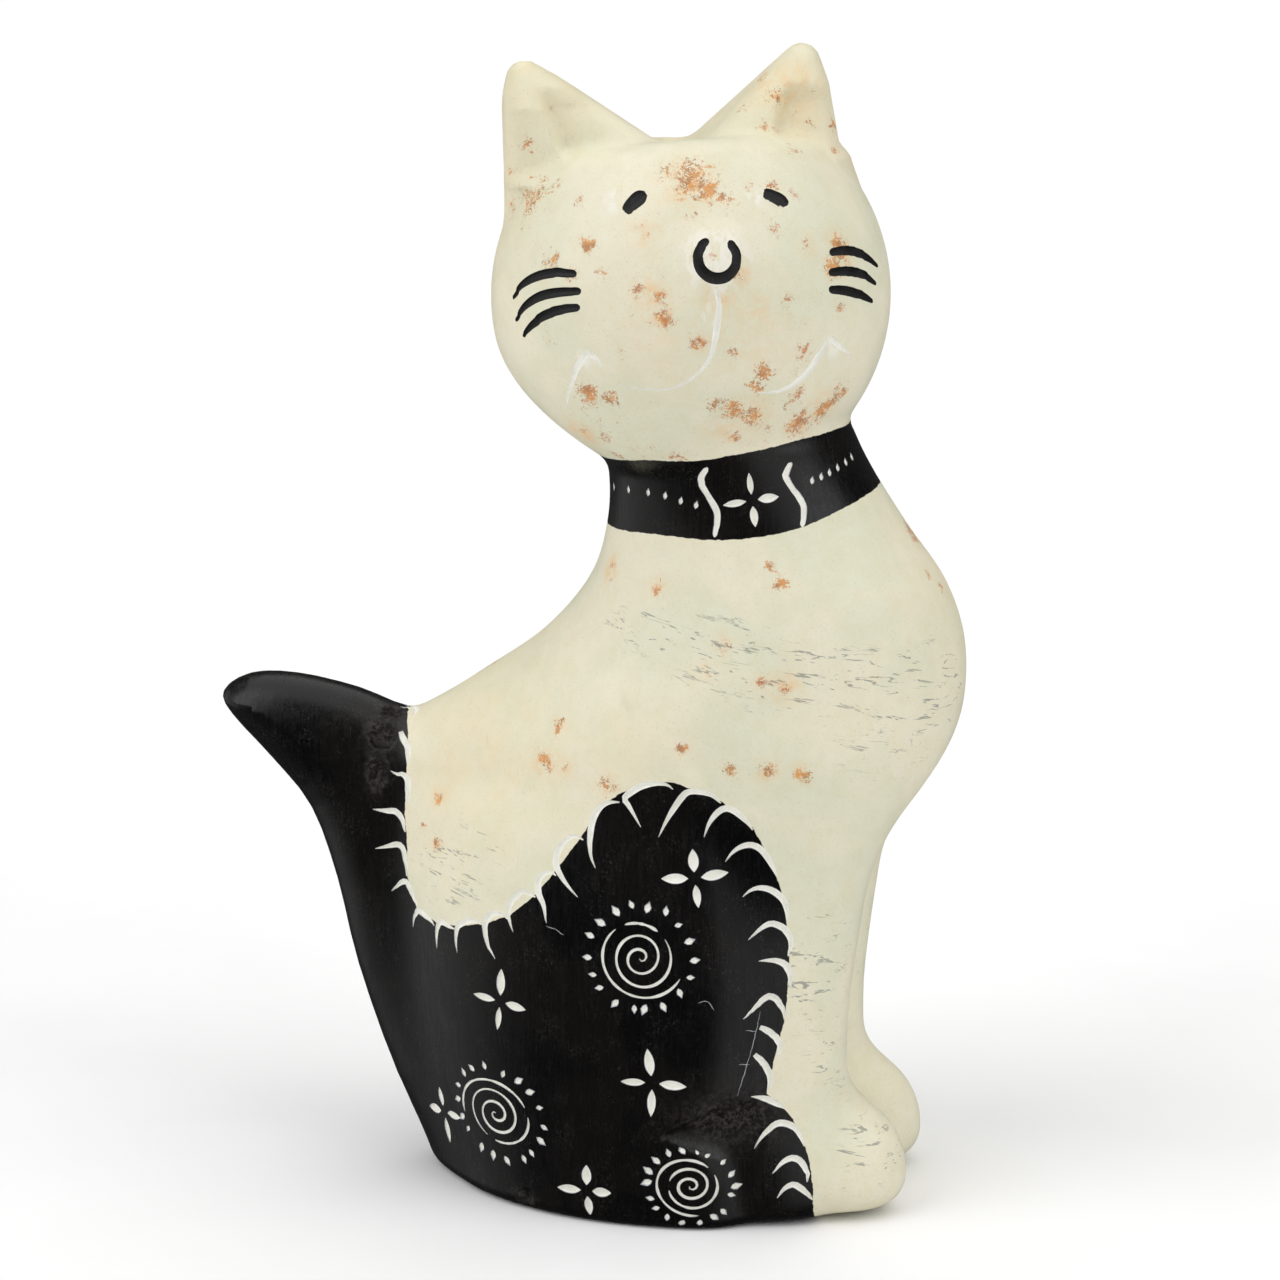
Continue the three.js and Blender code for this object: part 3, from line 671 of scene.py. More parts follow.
SMILES = [[(-20.6, -4.2), (-22.3, -6.6), (-23.3, -9.4), (-24, -12), (-24.4, -14.4)],
          [(6.2, -12.9), (9.7, -13.2), (13.4, -11.8), (16, -9.5), (18.6, -6)]]
MOUTH_HALF = [0.3, 0.5, 0.58, 0.36, 0.27, 0.22, 0.18, 0.14, 0.07]
SMILE_HALF = [[0.5, 0.66, 0.48, 0.34, 0.24, 0.08], [0.08, 0.3, 0.46, 0.62, 0.7, 0.4]]
DIMPLES = [[(-20.4, -4.6), (-19.2, -6.2), (-18.4, -7.4)], [(19.2, -5.6), (21.3, -7.7), (23.5, -9.6)]]

eyes = [stroke(evenly(on_face(spline(line, 16)), 0.3), half, 0.5, blunt=True)
        for line, half in zip(EYES, EYE_HALF)]
turn = np.radians(np.linspace(*NOSE_GAP, 60))
nose_line = on_face(np.array(NOSE_PLACE) + NOSE_RING * np.stack([np.cos(turn), np.sin(turn)], 1))
nose = stroke(evenly(nose_line, 0.35), NOSE_HALF, 0.45, blunt=True)
whiskers = [stroke(evenly(on_face(spline(line, 24)), 0.35), WHISKER_HALF, 0.4, blunt=True)
            for line in WHISKERS]
cut(cat, [*eyes, nose, *whiskers], black_fill)
mouth = stroke(evenly(on_face(spline(MOUTH, 60)), 0.7), MOUTH_HALF, 0.28)
smiles = [stroke(evenly(on_face(spline(line, 30)), 0.6), half, 0.32) for line, half in zip(SMILES, SMILE_HALF)]
dimples = [stroke(evenly(on_face(spline(line, 12)), 0.5), [0.55, 0.4, 0.1], 0.26) for line in DIMPLES]
cut(cat, [mouth, *smiles], fresh_scratch)
cut(cat, dimples, fresh_scratch)

# What time, stone and dye have left on the surface, noted point by point on the finished carving so that
# the finish can use it: how far inside the dye a point lies, iron spots, grey veins and rough places, and also
# how hollow each point lies, which is used for painted shade. The iron is listed as it is seen, in pixels
# (right, down, radius), with its strength and redness.
IRON_SPOTS = [
    (690, 178, 24, 1, 0.2), (708, 190, 16, 1, 0.2), (665, 172, 12, 0.9, 0.1), (725, 199, 10, 0.9, 0.4),
    (535, 200, 24, 0.75, 0), (555, 187, 12, 0.7, 0.4), (515, 205, 14, 0.7, 0), (528, 145, 9, 0.9, 0.9),
    (511, 170, 9, 0.8, 0.3), (581, 202, 8, 0.8, 0.9), (588, 244, 10, 1.05, 0.1), (552, 262, 12, 0.9, 0.1),
    (572, 276, 9, 0.9, 0.1), (643, 234, 11, 0.65, 0.2), (693, 215, 8, 0.8, 0.3), (602, 273, 8, 0.8, 0.2),
    (640, 290, 9, 0.9, 0.8), (662, 297, 9, 1, 0.6), (664, 320, 11, 1.05, 0.5), (700, 342, 9, 1, 0.9),
    (734, 352, 9, 0.7, 0.8), (738, 276, 8, 0.9, 0.9), (713, 256, 5, 0.9, 0.8), (839, 247, 14, 1.05, 0.3),
    (832, 268, 12, 1, 0.3), (848, 262, 8, 0.8, 0.3), (805, 246, 7, 0.8, 1), (787, 297, 7, 0.9, 0.6),
    (840, 309, 7, 0.95, 0.6), (793, 316, 7, 0.7, 0.9), (772, 187, 8, 0.85, 0.9), (793, 193, 7, 0.8, 1),
    (774, 228, 10, 0.8, 1), (749, 188, 8, 0.75, 0.9), (776, 95, 14, 0.75, 0.6), (764, 78, 12, 0.7, 0.3),
    (745, 105, 12, 0.65, 0.3), (766, 128, 12, 0.75, 0.9), (793, 150, 12, 0.8, 0.9), (833, 125, 8, 0.95, 0.9),
    (834, 150, 8, 0.85, 0.9), (812, 90, 6, 0.6, 0.2), (820, 62, 14, 0.5, 0.3), (801, 350, 12, 0.85, 0.8),
    (763, 372, 12, 1, 0.3), (756, 385, 10, 1, 0.2), (587, 393, 14, 1.1, 0.3), (613, 396, 10, 1, 0.4),
    (620, 352, 8, 0.6, 0.3), (796, 396, 11, 0.95, 0.9), (799, 422, 15, 1.1, 0.6), (822, 408, 14, 1.1, 0.4),
    (838, 394, 14, 1, 0.3), (716, 404, 10, 0.9, 0.4), (733, 410, 13, 1, 0.3), (752, 416, 12, 1.05, 0.3),
    (734, 434, 8, 0.9, 0.3), (769, 428, 10, 0.7, 0.6), (582, 430, 12, 0.6, 1), (608, 437, 10, 0.85, 1),
    (619, 455, 9, 0.8, 1), (678, 458, 12, 0.9, 1), (549, 340, 12, 0.6, 0.2), (543, 378, 8, 0.5, 0.2),
    (600, 420, 8, 0.6, 0.5), (612, 568, 10, 0.6, 1), (612, 578, 6, 0.7, 0.9), (657, 589, 7, 0.95, 1),
    (664, 576, 5, 0.7, 0.9), (769, 566, 5, 1.1, 0.3), (782, 582, 8, 1.15, 0.3), (776, 588, 6, 1, 0.3),
    (927, 576, 5, 0.9, 0.4), (941, 587, 6, 1.1, 0.4), (723, 645, 9, 0.8, 1), (707, 673, 7, 0.5, 1),
    (760, 683, 8, 0.85, 1), (786, 689, 9, 0.8, 1), (682, 748, 7, 1, 0.4), (730, 770, 8, 1.1, 0.1),
    (768, 770, 10, 0.85, 0.1), (801, 774, 9, 1.1, 0.1), (608, 785, 11, 0.9, 0.2), (560, 722, 7, 1, 0.3),
    (559, 730, 5, 1, 0.3), (544, 760, 10, 0.95, 0.2), (550, 767, 9, 0.95, 0.2), (566, 768, 7, 0.7, 0.2),
    (440, 799, 8, 1, 0.1), (437, 845, 7, 1.15, 0), (490, 744, 4, 0.6, 0.3), (424, 826, 4, 0.8, 0.8),
    (531, 702, 7, 0.5, 0.2), (500, 665, 8, 0.35, 0.6), (520, 225, 45, 0.4, 0.3), (545, 150, 30, 0.36, 0.6),
    (700, 188, 46, 0.42, 0.2), (795, 125, 38, 0.38, 0.7), (775, 210, 36, 0.36, 0.9), (800, 310, 46, 0.34, 0.8),
    (650, 305, 44, 0.34, 0.7), (590, 415, 46, 0.4, 0.5), (790, 398, 58, 0.4, 0.4), (725, 422, 46, 0.38, 0.4),
    (645, 452, 42, 0.4, 0.8)]
IRON_BLUSH = [
    (838, 255, 18, 0.75), (720, 300, 16, 0.6), (762, 310, 16, 0.45), (664, 318, 12, 0.6), (650, 292, 14, 0.6),
    (790, 90, 30, 0.45), (765, 85, 18, 0.35), (582, 432, 16, 0.8), (612, 570, 12, 0.8), (657, 587, 9, 0.6),
    (660, 345, 60, 0.12), (740, 275, 12, 0.5), (723, 645, 9, 0.5), (785, 688, 14, 0.6), (762, 684, 8, 0.4),
    (705, 672, 10, 0.35), (544, 763, 13, 0.6), (565, 768, 9, 0.5), (560, 724, 9, 0.5), (440, 798, 9, 0.6),
    (437, 845, 7, 0.6), (608, 785, 10, 0.5), (768, 770, 11, 0.5), (730, 769, 8, 0.5), (801, 772, 9, 0.5),
    (682, 748, 7, 0.5), (805, 246, 10, 0.4), (725, 430, 20, 0.35), (822, 404, 20, 0.4), (799, 420, 14, 0.5),
    (645, 238, 18, 0.3), (690, 185, 30, 0.4), (700, 340, 12, 0.5), (745, 330, 45, 0.2), (750, 412, 22, 0.35)]
HIDDEN_SPOTS = 46
GREY_VEINS = [((34, -22, 98), (22, 18, 6), 1), ((12, -24, 104), (20, 14, 4.5), 0.75),
              ((50, -12, 94), (8, 20, 8), 0.95), ((44, -18, 84), (12, 18, 8), 0.45),
              ((34, -22, 46), (7, 12, 12), 0.7), ((36, -18, 30), (6, 12, 12), 0.5),
              ((44, -18, 12), (8, 10, 8), 0.7), ((-30, -16, 59), (10, 12, 6), 0.8),
              ((-22, -20, 66), (7, 10, 4), 0.7), ((22, 22, 98), (28, 14, 7), 0.8),
              ((34, 16, 44), (8, 12, 22), 0.6), ((-28, 18, 60), (12, 12, 6), 0.8)]
CHALK_SPOTS = [((0.4, 9.7), 6.6, 1), ((-14.2, 19.5), 2.6, 0.9), ((8.3, 18.6), 2.1, 0.8),
               ((-0.6, 1), 2.4, 0.8), ((-21.5, -5.4), 1.8, 0.9), ((20, -6.8), 2.6, 0.9),
               ((14, -11.4), 2, 0.6)]
ROUGH_SPOTS = [((19.9, -27.2, 20.4), (7.5, 6, 4.2), 1), ((19.9, 27.2, 20.4), (7.5, 6, 4.2), 0.8),
               ((-44.7, -6.5, 80.3), (2.6, 2.4, 2.9), 1.1), ((-45.4, -8.4, 73.8), (1.9, 2.4, 3.5), 1.1),
               ((-43.6, -3.4, 83.4), (2.4, 2.4, 1.5), 1), ((-46, 8.3, 77), (2, 2, 2.6), 1),
               ((-16.1, -24, 2.6), (2, 2, 1.5), 1)]
WARM_SPOTS = [((-16, -4, 192), (12, 14, 14), 1), ((-20, -8, 176), (10, 14, 16), 0.7),
              ((26, 0, 192), (12, 14, 14), 0.7), ((-22, -10, 78), (20, 22, 16), 0.9),
              ((52, 2, 108), (10, 16, 18), 0.5), ((14, 10, 186), (30, 12, 12), 0.6),
              ((2, -20, 84), (8, 14, 8), 0.7)]
PIXEL, SPOT_SMALLEST = 0.174, 1.3


def write_note(mesh, name, values):
    note = mesh.attributes.new(name, "FLOAT", "POINT")
    note.data.foreach_set("value", values.astype(np.float32))


def spread(at, spots):
    """How strongly spots (centre, radius or radii, strength) are felt at each point."""
    felt = np.zeros(len(at))
    for centre, radius, strength in spots:
        felt = np.maximum(felt, strength * np.exp(-(((at - centre) / radius) ** 2).sum(1)))
    return felt


triangles = bmesh.new()
triangles.from_mesh(cat.data)
bmesh.ops.triangulate(triangles, faces=triangles.faces)
triangles.to_mesh(cat.data)
triangles.free()
body = cat.data
at = np.zeros(len(body.vertices) * 3)
body.vertices.foreach_get("co", at)
at = carving_mm(at.reshape(-1, 3))
deep, facing = slope_of(at)
facing /= np.linalg.norm(facing, axis=1)[:, None]
visible = [(place, radius * PIXEL, strength, red)
           for place, (_, _, radius, strength, red) in zip(in_sight([s[:2] for s in IRON_SPOTS]), IRON_SPOTS)]
hidden = [(place, *chance.uniform((1, 0.6, 0), (3.4, 1.1, 0.9)))
          for place in on_flank(chance.uniform((-34, 84), (50, 190), (HIDDEN_SPOTS, 2)), 1)]
iron_spots = [(place, max(1.2 * radius, SPOT_SMALLEST), strength)
              for place, radius, strength, _ in visible + hidden]
red_spots = [(place, radius + 1, red) for place, radius, _, red in visible + hidden]
blush_spots = [(place, max(radius * PIXEL, SPOT_SMALLEST), strength)
               for place, (_, _, radius, strength) in zip(in_sight([s[:2] for s in IRON_BLUSH]), IRON_BLUSH)]
blush_spots += [(place, radius * 1.6, strength * 0.5) for place, radius, strength, _ in hidden[::3]]
chalk_spots = [(on_face([place])[0], radius, strength) for place, radius, strength in CHALK_SPOTS]
flank_dye = -inside_outline(at[:, 0], at[:, 2], DYED)
collar_dye = np.minimum(through(COLLAR_TOP, at[:, 0]) - at[:, 2], at[:, 2] - through(COLLAR_FOOT, at[:, 0]))
write_note(body, "dye", np.clip(np.maximum(flank_dye, collar_dye), -4, 4))
write_note(body, "below", np.maximum(-deep, 0))
write_note(body, "iron", spread(at, iron_spots))
write_note(body, "rust_red", spread(at, red_spots))
write_note(body, "blush", spread(at, blush_spots))
write_note(body, "veins", spread(at, GREY_VEINS))
write_note(body, "chalk", spread(at, chalk_spots))
write_note(body, "rough", np.maximum(spread(at, ROUGH_SPOTS), np.clip(0.6 - at[:, 2], 0, 0.5) * 1.4))
write_note(body, "warm", spread(at, WARM_SPOTS))
# Painted shade: how hollow the surface is at each point, used to darken the stone's colour in creases and
# hollows
write_note(body, "crevice_painted_shade", np.clip(1 - stone(*(at + 2.4 * facing).T) / 2.4 - 0.04, 0, 1))
body.update()
print("triangles", len(body.polygons))

# The polish: the cut faces stay crisp, and the stone between them is shaded as one smooth form.
smooth = np.ones(len(body.polygons), bool)
body.polygons.foreach_set("use_smooth", smooth)
corner_points = np.zeros(len(body.loops), int)
body.loops.foreach_get("vertex_index", corner_points)
slot_of = np.zeros(len(body.polygons), int)
body.polygons.foreach_get("material_index", slot_of)
on_stone = np.repeat(slot_of == 0, 3)
flat = np.zeros(len(body.polygons) * 3)
body.polygons.foreach_get("normal", flat)
flat = np.repeat(flat.reshape(-1, 3), 3, axis=0)
body.normals_split_custom_set(np.where(on_stone[:, None], facing[corner_points], flat).tolist())

# The finishes: polished stone with its stains and dye, bare scratched stone, and the black rubbed into the
# face. Each follows the place on the cat in millimetres, and the notes made above.
# The last colour of the second row is painted shade, laid into creases and hollows
CREAM, GREENISH, YELLOWED = (0.81, 0.765, 0.60, 1), (0.745, 0.735, 0.57, 1), (0.82, 0.72, 0.49, 1)
CLOUDED, FLECK, PAINTED_HOLLOW_SHADE = (0.90, 0.87, 0.74, 1), (0.42, 0.34, 0.22, 1), (0.62, 0.58, 0.44, 1)
VEIN_GREY, BLUSH, CHALK = (0.17, 0.185, 0.175, 1), (0.86, 0.47, 0.16, 1), (0.90, 0.885, 0.83, 1)
RUST_BROWN, RUST_ORANGE, RUST_RED = (0.42, 0.165, 0.032, 1), (0.72, 0.30, 0.055, 1), (0.55, 0.16, 0.075, 1)
DYE_BLACK, DYE_BROWN = (0.0015, 0.0015, 0.0016, 1), (0.0045, 0.0036, 0.0032, 1)
DYE_THIN, DYE_WORN = (0.018, 0.016, 0.017, 1), (0.10, 0.095, 0.085, 1)
# The dusty colour of the rough dye is partly painted sheen, made lighter to stand for the sheen on the scoop
DYE_RUBBED, DYE_DUSTY_AND_SHEEN = (0.30, 0.29, 0.28, 1), (0.12, 0.10, 0.088, 1)


def feed(tree, socket, value):
    """Joins a socket to another, or sets its own value."""
    if isinstance(value, bpy.types.NodeSocket):
        tree.links.new(value, socket)
    else:
        socket.default_value = value


def node(tree, kind, settings=None, **inputs):
    made = tree.nodes.new("ShaderNode" + kind)
    for name, value in (settings or {}).items():
        setattr(made, name, value)
    for name, value in inputs.items():
        feed(tree, made.inputs[name.replace("_", " ")], value)
    return made


def worked(tree, how, *values):
    """One step of arithmetic."""
    made = node(tree, "Math", {"operation": how})
    for socket, value in zip(made.inputs, values):
        feed(tree, socket, value)
    return made.outputs[0]


def times(tree, *values):
    """The values multiplied together."""
    made = values[0]
    for value in values[1:]:
        made = worked(tree, "MULTIPLY", made, value)
    return made


def fade(tree, value, low, high, first=0.0, last=1.0):
    """A soft step from first to last as the value goes from low to high."""
    made = node(tree, "MapRange", {"interpolation_type": "SMOOTHSTEP"}, Value=value, From_Min=low,
                From_Max=high, To_Min=first, To_Max=last)
    return made.outputs[0]


def laid_over(tree, share, under, over, how="MIX"):
    """A second colour laid over the first by a share."""
    made = node(tree, "Mix", {"data_type": "RGBA", "blend_type": how})
    for at_socket, value in ((0, share), (6, under), (7, over)):
        feed(tree, made.inputs[at_socket], value)
    return made.outputs[2]


def stretched(tree, place, by):
    made = node(tree, "VectorMath", {"operation": "MULTIPLY"})
    feed(tree, made.inputs[0], place)
    feed(tree, made.inputs[1], by)
    return made.outputs[0]


def cloud(tree, place, scale, detail=2.0, roughness=0.5, distortion=0.0):
    return node(tree, "TexNoise", Vector=place, Scale=scale, Detail=detail, Roughness=roughness,
                Distortion=distortion).outputs[0]


def note(tree, name):
    return node(tree, "Attribute", {"attribute_name": name}).outputs["Fac"]


def in_mm(tree):
    return stretched(tree, node(tree, "TexCoord").outputs["Object"], (1000, 1000, 1000))


def effect(name, given, gives):
    """An empty node group with its sockets: (tree, what it is given, what it gives)."""
    tree = bpy.data.node_groups.new(name, "ShaderNodeTree")
    for socket, kind in given:
        tree.interface.new_socket(socket, in_out="INPUT", socket_type="NodeSocket" + kind)
    for socket in gives:
        tree.interface.new_socket(socket, in_out="OUTPUT", socket_type="NodeSocketFloat")
    return tree, tree.nodes.new("NodeGroupInput").outputs, tree.nodes.new("NodeGroupOutput").inputs


def with_effect(tree, group, **inputs):
    return node(tree, "Group", {"node_tree": group}, **inputs).outputs


def finish(material):
    material.use_nodes = True
    return material.node_tree, material.node_tree.nodes["Principled BSDF"]


def bumped(tree, surface, relief):
    """Relief in millimetres, felt by the light."""
    bump = node(tree, "Bump", Height=relief, Distance=0.001, Strength=1.0)
    feed(tree, surface.inputs["Normal"], bump.outputs[0])


# The grain that every face of the stone has, cut or polished
grain, given, gives = effect("stone_grain", [("Place", "Vector"), ("Coarseness", "Float")],
                             ["Cloud", "Fleck", "Height"])
sized = node(grain, "VectorMath", {"operation": "SCALE"})
feed(grain, sized.inputs[0], given["Place"])
feed(grain, sized.inputs["Scale"], given["Coarseness"])
fine = cloud(grain, sized.outputs[0], 2.4, 5, 0.65)
dust = cloud(grain, sized.outputs[0], 7.5, 2, 0.6)
feed(grain, gives["Cloud"], cloud(grain, sized.outputs[0], 0.3, 4, 0.6, 0.4))
feed(grain, gives["Fleck"], fade(grain, times(grain, fine, dust), 0.325, 0.37))
feed(grain, gives["Height"], worked(grain, "MULTIPLY_ADD", dust, 0.5, fine))

# Fine marks of the sanding cloth, worn in two directions
rubbing, given, gives = effect("rubbing_marks", [("Place", "Vector"), ("Amount", "Float")], ["Mark"])
worn = []
for by, scale in (((0.35, 1, 3.2), 1.5), ((3.0, 1, 0.3), 1.3)):
    streak = cloud(rubbing, stretched(rubbing, given["Place"], by), scale, 3, 0.7, 0.3)
    worn.append(fade(rubbing, streak, 0.6, 0.72))
feed(rubbing, gives["Mark"], times(rubbing, worked(rubbing, "MAXIMUM", *worn), given["Amount"]))

# Polished stone: cream to pale green, clouded and flecked
tree, surface = finish(polished_stone)
place = in_mm(tree)
grained = with_effect(tree, grain, Place=place, Coarseness=1.0)
marks = with_effect(tree, rubbing, Place=place, Amount=1.0)["Mark"]
drift = cloud(tree, place, 0.045, 3, 0.55, 0.6)
small_drift = cloud(tree, place, 0.16, 3, 0.6)
tone = laid_over(tree, fade(tree, drift, 0.38, 0.62), GREENISH, CREAM)
warmth = times(tree, note(tree, "warm"), fade(tree, small_drift, 0.3, 0.7, 0.45, 0.95))
tone = laid_over(tree, warmth, tone, YELLOWED)
tone = laid_over(tree, fade(tree, grained["Cloud"], 0.35, 0.7, 0.0, 0.3), tone, CLOUDED, "MULTIPLY")
tone = laid_over(tree, times(tree, grained["Fleck"], 0.3), tone, FLECK)
# Painted shade: the stone is darkened in creases and hollows by how hollow each point lies
tone = laid_over(tree, times(tree, note(tree, "crevice_painted_shade"), 0.5), tone, PAINTED_HOLLOW_SHADE, "MULTIPLY")

# Grey veins: long threads and short dashes, which slope a little down towards the chest
VEIN_SLOPE = np.radians(-11)
vein_zone = note(tree, "veins")
turned = node(tree, "VectorRotate", {"rotation_type": "Y_AXIS"}, Vector=place, Angle=VEIN_SLOPE)
sloping = turned.outputs[0]
wavy = cloud(tree, stretched(tree, sloping, (0.055, 0.09, 0.42)), 1.0, 4, 0.6, 0.5)
ridge = worked(tree, "ABSOLUTE", worked(tree, "SUBTRACT", wavy, 0.5))
gaps = fade(tree, cloud(tree, stretched(tree, sloping, (0.16, 0.2, 0.6)), 1.0, 3, 0.6), 0.44, 0.62)
width = times(tree, gaps, vein_zone, 0.026)
threads = times(tree, fade(tree, worked(tree, "SUBTRACT", ridge, width), -0.003, 0.006, 1.0, 0.0),
                fade(tree, times(tree, gaps, vein_zone), 0.1, 0.45))
broken = cloud(tree, stretched(tree, sloping, (0.34, 0.5, 1.7)), 0.8, 3, 0.6, 0.8)
dashes = times(tree, fade(tree, broken, 0.645, 0.69), fade(tree, vein_zone, 0.2, 0.6))
veins = worked(tree, "MAXIMUM", threads, dashes)
tone = laid_over(tree, times(tree, veins, 0.66), tone, VEIN_GREY)

# Iron: soft blushes, and clusters of fine branching specks
blush = times(tree, note(tree, "blush"), fade(tree, cloud(tree, place, 0.5, 3, 0.6, 0.5), 0.3, 0.66))
tone = laid_over(tree, times(tree, blush, 0.9), tone, BLUSH)
iron = note(tree, "iron")
clusters = times(tree, cloud(tree, place, 0.55, 4, 0.7, 0.9), 0.5)
specks = times(tree, cloud(tree, place, 1.7, 4, 0.75, 1.6), 0.62)
growth = worked(tree, "ADD", worked(tree, "MULTIPLY_ADD", iron, 0.27, clusters), specks)
rust = times(tree, fade(tree, growth, 0.75, 0.80), fade(tree, iron, 0.08, 0.3))
rust_tone = laid_over(tree, fade(tree, cloud(tree, place, 0.5, 3, 0.6), 0.4, 0.6), RUST_BROWN, RUST_ORANGE)
rust_tone = laid_over(tree, times(tree, note(tree, "rust_red"), 0.6), rust_tone, RUST_RED)
tone = laid_over(tree, times(tree, rust, 0.86), tone, rust_tone)

# Scraped places, chalky and pale
scraped = fade(tree, cloud(tree, stretched(tree, place, (1, 1, 0.5)), 0.5, 4, 0.6, 0.8), 0.36, 0.62, 0.3, 1.0)
chalk = times(tree, note(tree, "chalk"), scraped)
tone = laid_over(tree, times(tree, fade(tree, chalk, 0.2, 0.7), 0.55), tone, CHALK)

# The dye, brushed on and waxed: a little brown, dusty in its rough places and worn in fine scratches. The
# dusty colour is partly painted sheen: it is set lighter than the dust alone.
rough = note(tree, "rough")
rough_grain = cloud(tree, place, 1.1, 5, 0.7, 0.6)
edge = worked(tree, "MULTIPLY_ADD", cloud(tree, place, 0.8, 3, 0.6), 0.5, -0.25)
dyed = fade(tree, worked(tree, "ADD", note(tree, "dye"), edge), -0.05, 0.06)
brushed = cloud(tree, stretched(tree, place, (1.6, 1.2, 0.12)), 1.0, 4, 0.7, 0.2)
black = laid_over(tree, fade(tree, drift, 0.4, 0.62), DYE_BLACK, DYE_BROWN)
black = laid_over(tree, fade(tree, brushed, 0.58, 0.78, 0.0, 0.4), black, DYE_THIN)
wear = times(tree, grained["Fleck"], fade(tree, cloud(tree, place, 0.2, 2, 0.5), 0.46, 0.66, 0.04, 0.5))
black = laid_over(tree, wear, black, DYE_WORN)
black = laid_over(tree, times(tree, marks, 0.02), black, DYE_RUBBED)
# Dust in the rough places, partly painted sheen: its colour is lighter than dust, standing for the sheen on
# the scoop
black = laid_over(tree, times(tree, rough, fade(tree, rough_grain, 0.42, 0.66), 0.6), black, DYE_DUSTY_AND_SHEEN)
feed(tree, surface.inputs["Base Color"], laid_over(tree, dyed, tone, black))

gloss_stone = worked(tree, "MULTIPLY_ADD", chalk, 0.3, fade(tree, small_drift, 0.3, 0.7, 0.4, 0.52))
gloss_dye = worked(tree, "MULTIPLY_ADD", wear, 0.2, fade(tree, brushed, 0.35, 0.7, 0.24, 0.38))
gloss = laid_over(tree, dyed, gloss_stone, gloss_dye)
gloss = laid_over(tree, fade(tree, rough, 0.2, 0.7), gloss, (0.85, 0.85, 0.85, 1))
feed(tree, surface.inputs["Roughness"], gloss)
surface.inputs["Specular IOR Level"].default_value = 0.3

relief = worked(tree, "MULTIPLY_ADD", grained["Height"], 0.012, times(tree, marks, -0.008))
relief = worked(tree, "MULTIPLY_ADD", rust, -0.012, relief)
relief = worked(tree, "MULTIPLY_ADD", times(tree, rough, rough_grain), 0.55, relief)
relief = worked(tree, "MULTIPLY_ADD", times(tree, chalk, cloud(tree, place, 1.3, 4, 0.6)), 0.07, relief)
bumped(tree, surface, relief)

# Fresh scratches: bare stone, powdery, with the dye's grey-blue edge where the cut is shallow
tree, surface = finish(fresh_scratch)
place = in_mm(tree)
grained = with_effect(tree, grain, Place=place, Coarseness=1.4)
tone = laid_over(tree, fade(tree, grained["Cloud"], 0.35, 0.65), (0.90, 0.89, 0.82, 1), (0.83, 0.82, 0.74, 1))
tone = laid_over(tree, times(tree, grained["Fleck"], 0.35), tone, (0.45, 0.42, 0.36, 1))
uneven = worked(tree, "MULTIPLY_ADD", cloud(tree, place, 1.6, 3, 0.6), 0.1, note(tree, "below"))
shallow = times(tree, fade(tree, uneven, 0.07, 0.2, 1.0, 0.0), fade(tree, note(tree, "dye"), 0.2, 1.2))
tone = laid_over(tree, times(tree, shallow, 0.8), tone, (0.21, 0.235, 0.30, 1))
feed(tree, surface.inputs["Base Color"], tone)
feed(tree, surface.inputs["Roughness"], fade(tree, grained["Cloud"], 0.3, 0.7, 0.65, 0.85))
surface.inputs["Specular IOR Level"].default_value = 0.3
bumped(tree, surface, times(tree, grained["Height"], 0.05))

# The black of the face: rubbed into the grooves, a little uneven, with specks of bare stone
tree, surface = finish(black_fill)
place = in_mm(tree)
grained = with_effect(tree, grain, Place=place, Coarseness=1.2)
tone = laid_over(tree, fade(tree, grained["Cloud"], 0.4, 0.65), (0.007, 0.007, 0.007, 1),
                 (0.016, 0.015, 0.015, 1))
tone = laid_over(tree, times(tree, grained["Fleck"], 0.3), tone, (0.12, 0.115, 0.10, 1))
feed(tree, surface.inputs["Base Color"], tone)
feed(tree, surface.inputs["Roughness"], fade(tree, grained["Cloud"], 0.3, 0.7, 0.45, 0.65))
surface.inputs["Specular IOR Level"].default_value = 0.3
bumped(tree, surface, times(tree, grained["Height"], 0.05))

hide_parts("carved_cat")
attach(cat, "root")

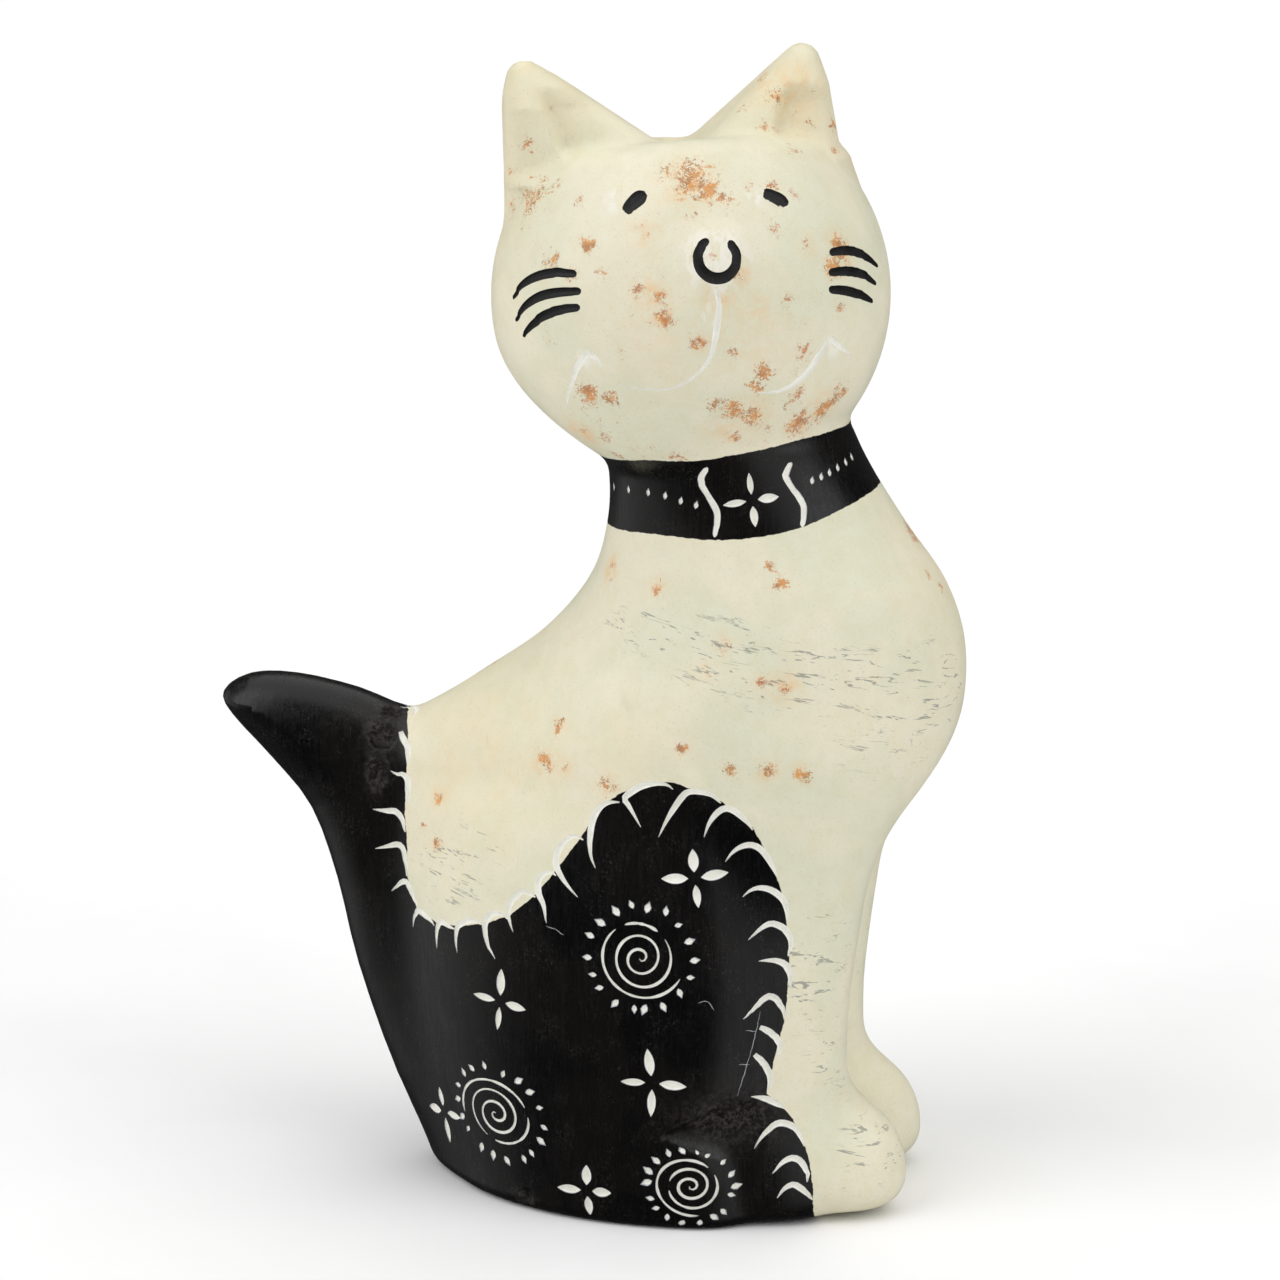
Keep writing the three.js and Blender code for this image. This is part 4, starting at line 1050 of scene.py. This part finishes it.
# The floor and light: a plain white sheet in a dim room, a wide soft lamp on each side and one above, and a
# tall light box at the right front and another at the left. The waxed black mirrors the boxes and not the
# sheet, so it stays deep in the middle and has a soft sheen where it turns away.
floor_mesh = bpy.data.meshes.new("floor")
floor_mesh.from_pydata([(-8, -8, 0), (8, -8, 0), (8, 8, 0), (-8, 8, 0)], [], [(0, 1, 2, 3)])
floor = bpy.data.objects.new("floor", floor_mesh)
bpy.context.scene.collection.objects.link(floor)
white_sheet = bpy.data.materials.new("white_sheet")
tree, surface = finish(white_sheet)
cloudy = fade(tree, cloud(tree, in_mm(tree), 0.02, 3, 0.5), 0.3, 0.7)
sheet_tone = laid_over(tree, cloudy, (0.93, 0.93, 0.93, 1), (0.95, 0.95, 0.95, 1))
feed(tree, surface.inputs["Base Color"], sheet_tone)
surface.inputs["Roughness"].default_value = 0.9
surface.inputs["Specular IOR Level"].default_value = 0.1
floor_mesh.materials.append(white_sheet)
floor.visible_glossy = False

ROOM_SEEN, ROOM_LIGHT = 1.0, 0.05
RIGHT_BOX, LEFT_BOX = 0.9, 0.55
world = bpy.data.worlds.new("room")
bpy.context.scene.world = world
world.use_nodes = True
room = world.node_tree
background = room.nodes["Background"]
background.inputs["Color"].default_value = (1, 1, 1, 1)
bearing = node(room, "SeparateXYZ", Vector=node(room, "TexCoord").outputs["Generated"]).outputs
right_box = times(room, fade(room, bearing["X"], 0.3, 0.58),
                  fade(room, bearing["Y"], -0.55, -0.3, RIGHT_BOX, 0.0))
left_box = fade(room, bearing["X"], -0.94, -0.7, LEFT_BOX, 0.0)
lit = worked(room, "ADD", worked(room, "MAXIMUM", right_box, left_box), ROOM_LIGHT)
seen = node(room, "LightPath").outputs["Is Camera Ray"]
feed(room, background.inputs["Strength"], fade(room, seen, 0, 1, lit, ROOM_SEEN))

LAMPS = [("left", (-0.8, -0.62, 0.75), 50, 1.33), ("right", (0.95, -0.3, 0.7), 45, 0.86),
         ("top", (0.05, 0.12, 1), 80, 1.83)]
for name, toward, width, strength in LAMPS:
    lamp = bpy.data.objects.new("lamp_" + name, bpy.data.lights.new("lamp_" + name, "SUN"))
    lamp.data.angle = np.radians(width)
    lamp.data.energy = strength
    lamp.rotation_mode = "QUATERNION"
    lamp.rotation_quaternion = Vector(toward).to_track_quat("Z", "Y")
    bpy.context.scene.collection.objects.link(lamp)

bpy.context.scene.view_settings.view_transform = "Standard"
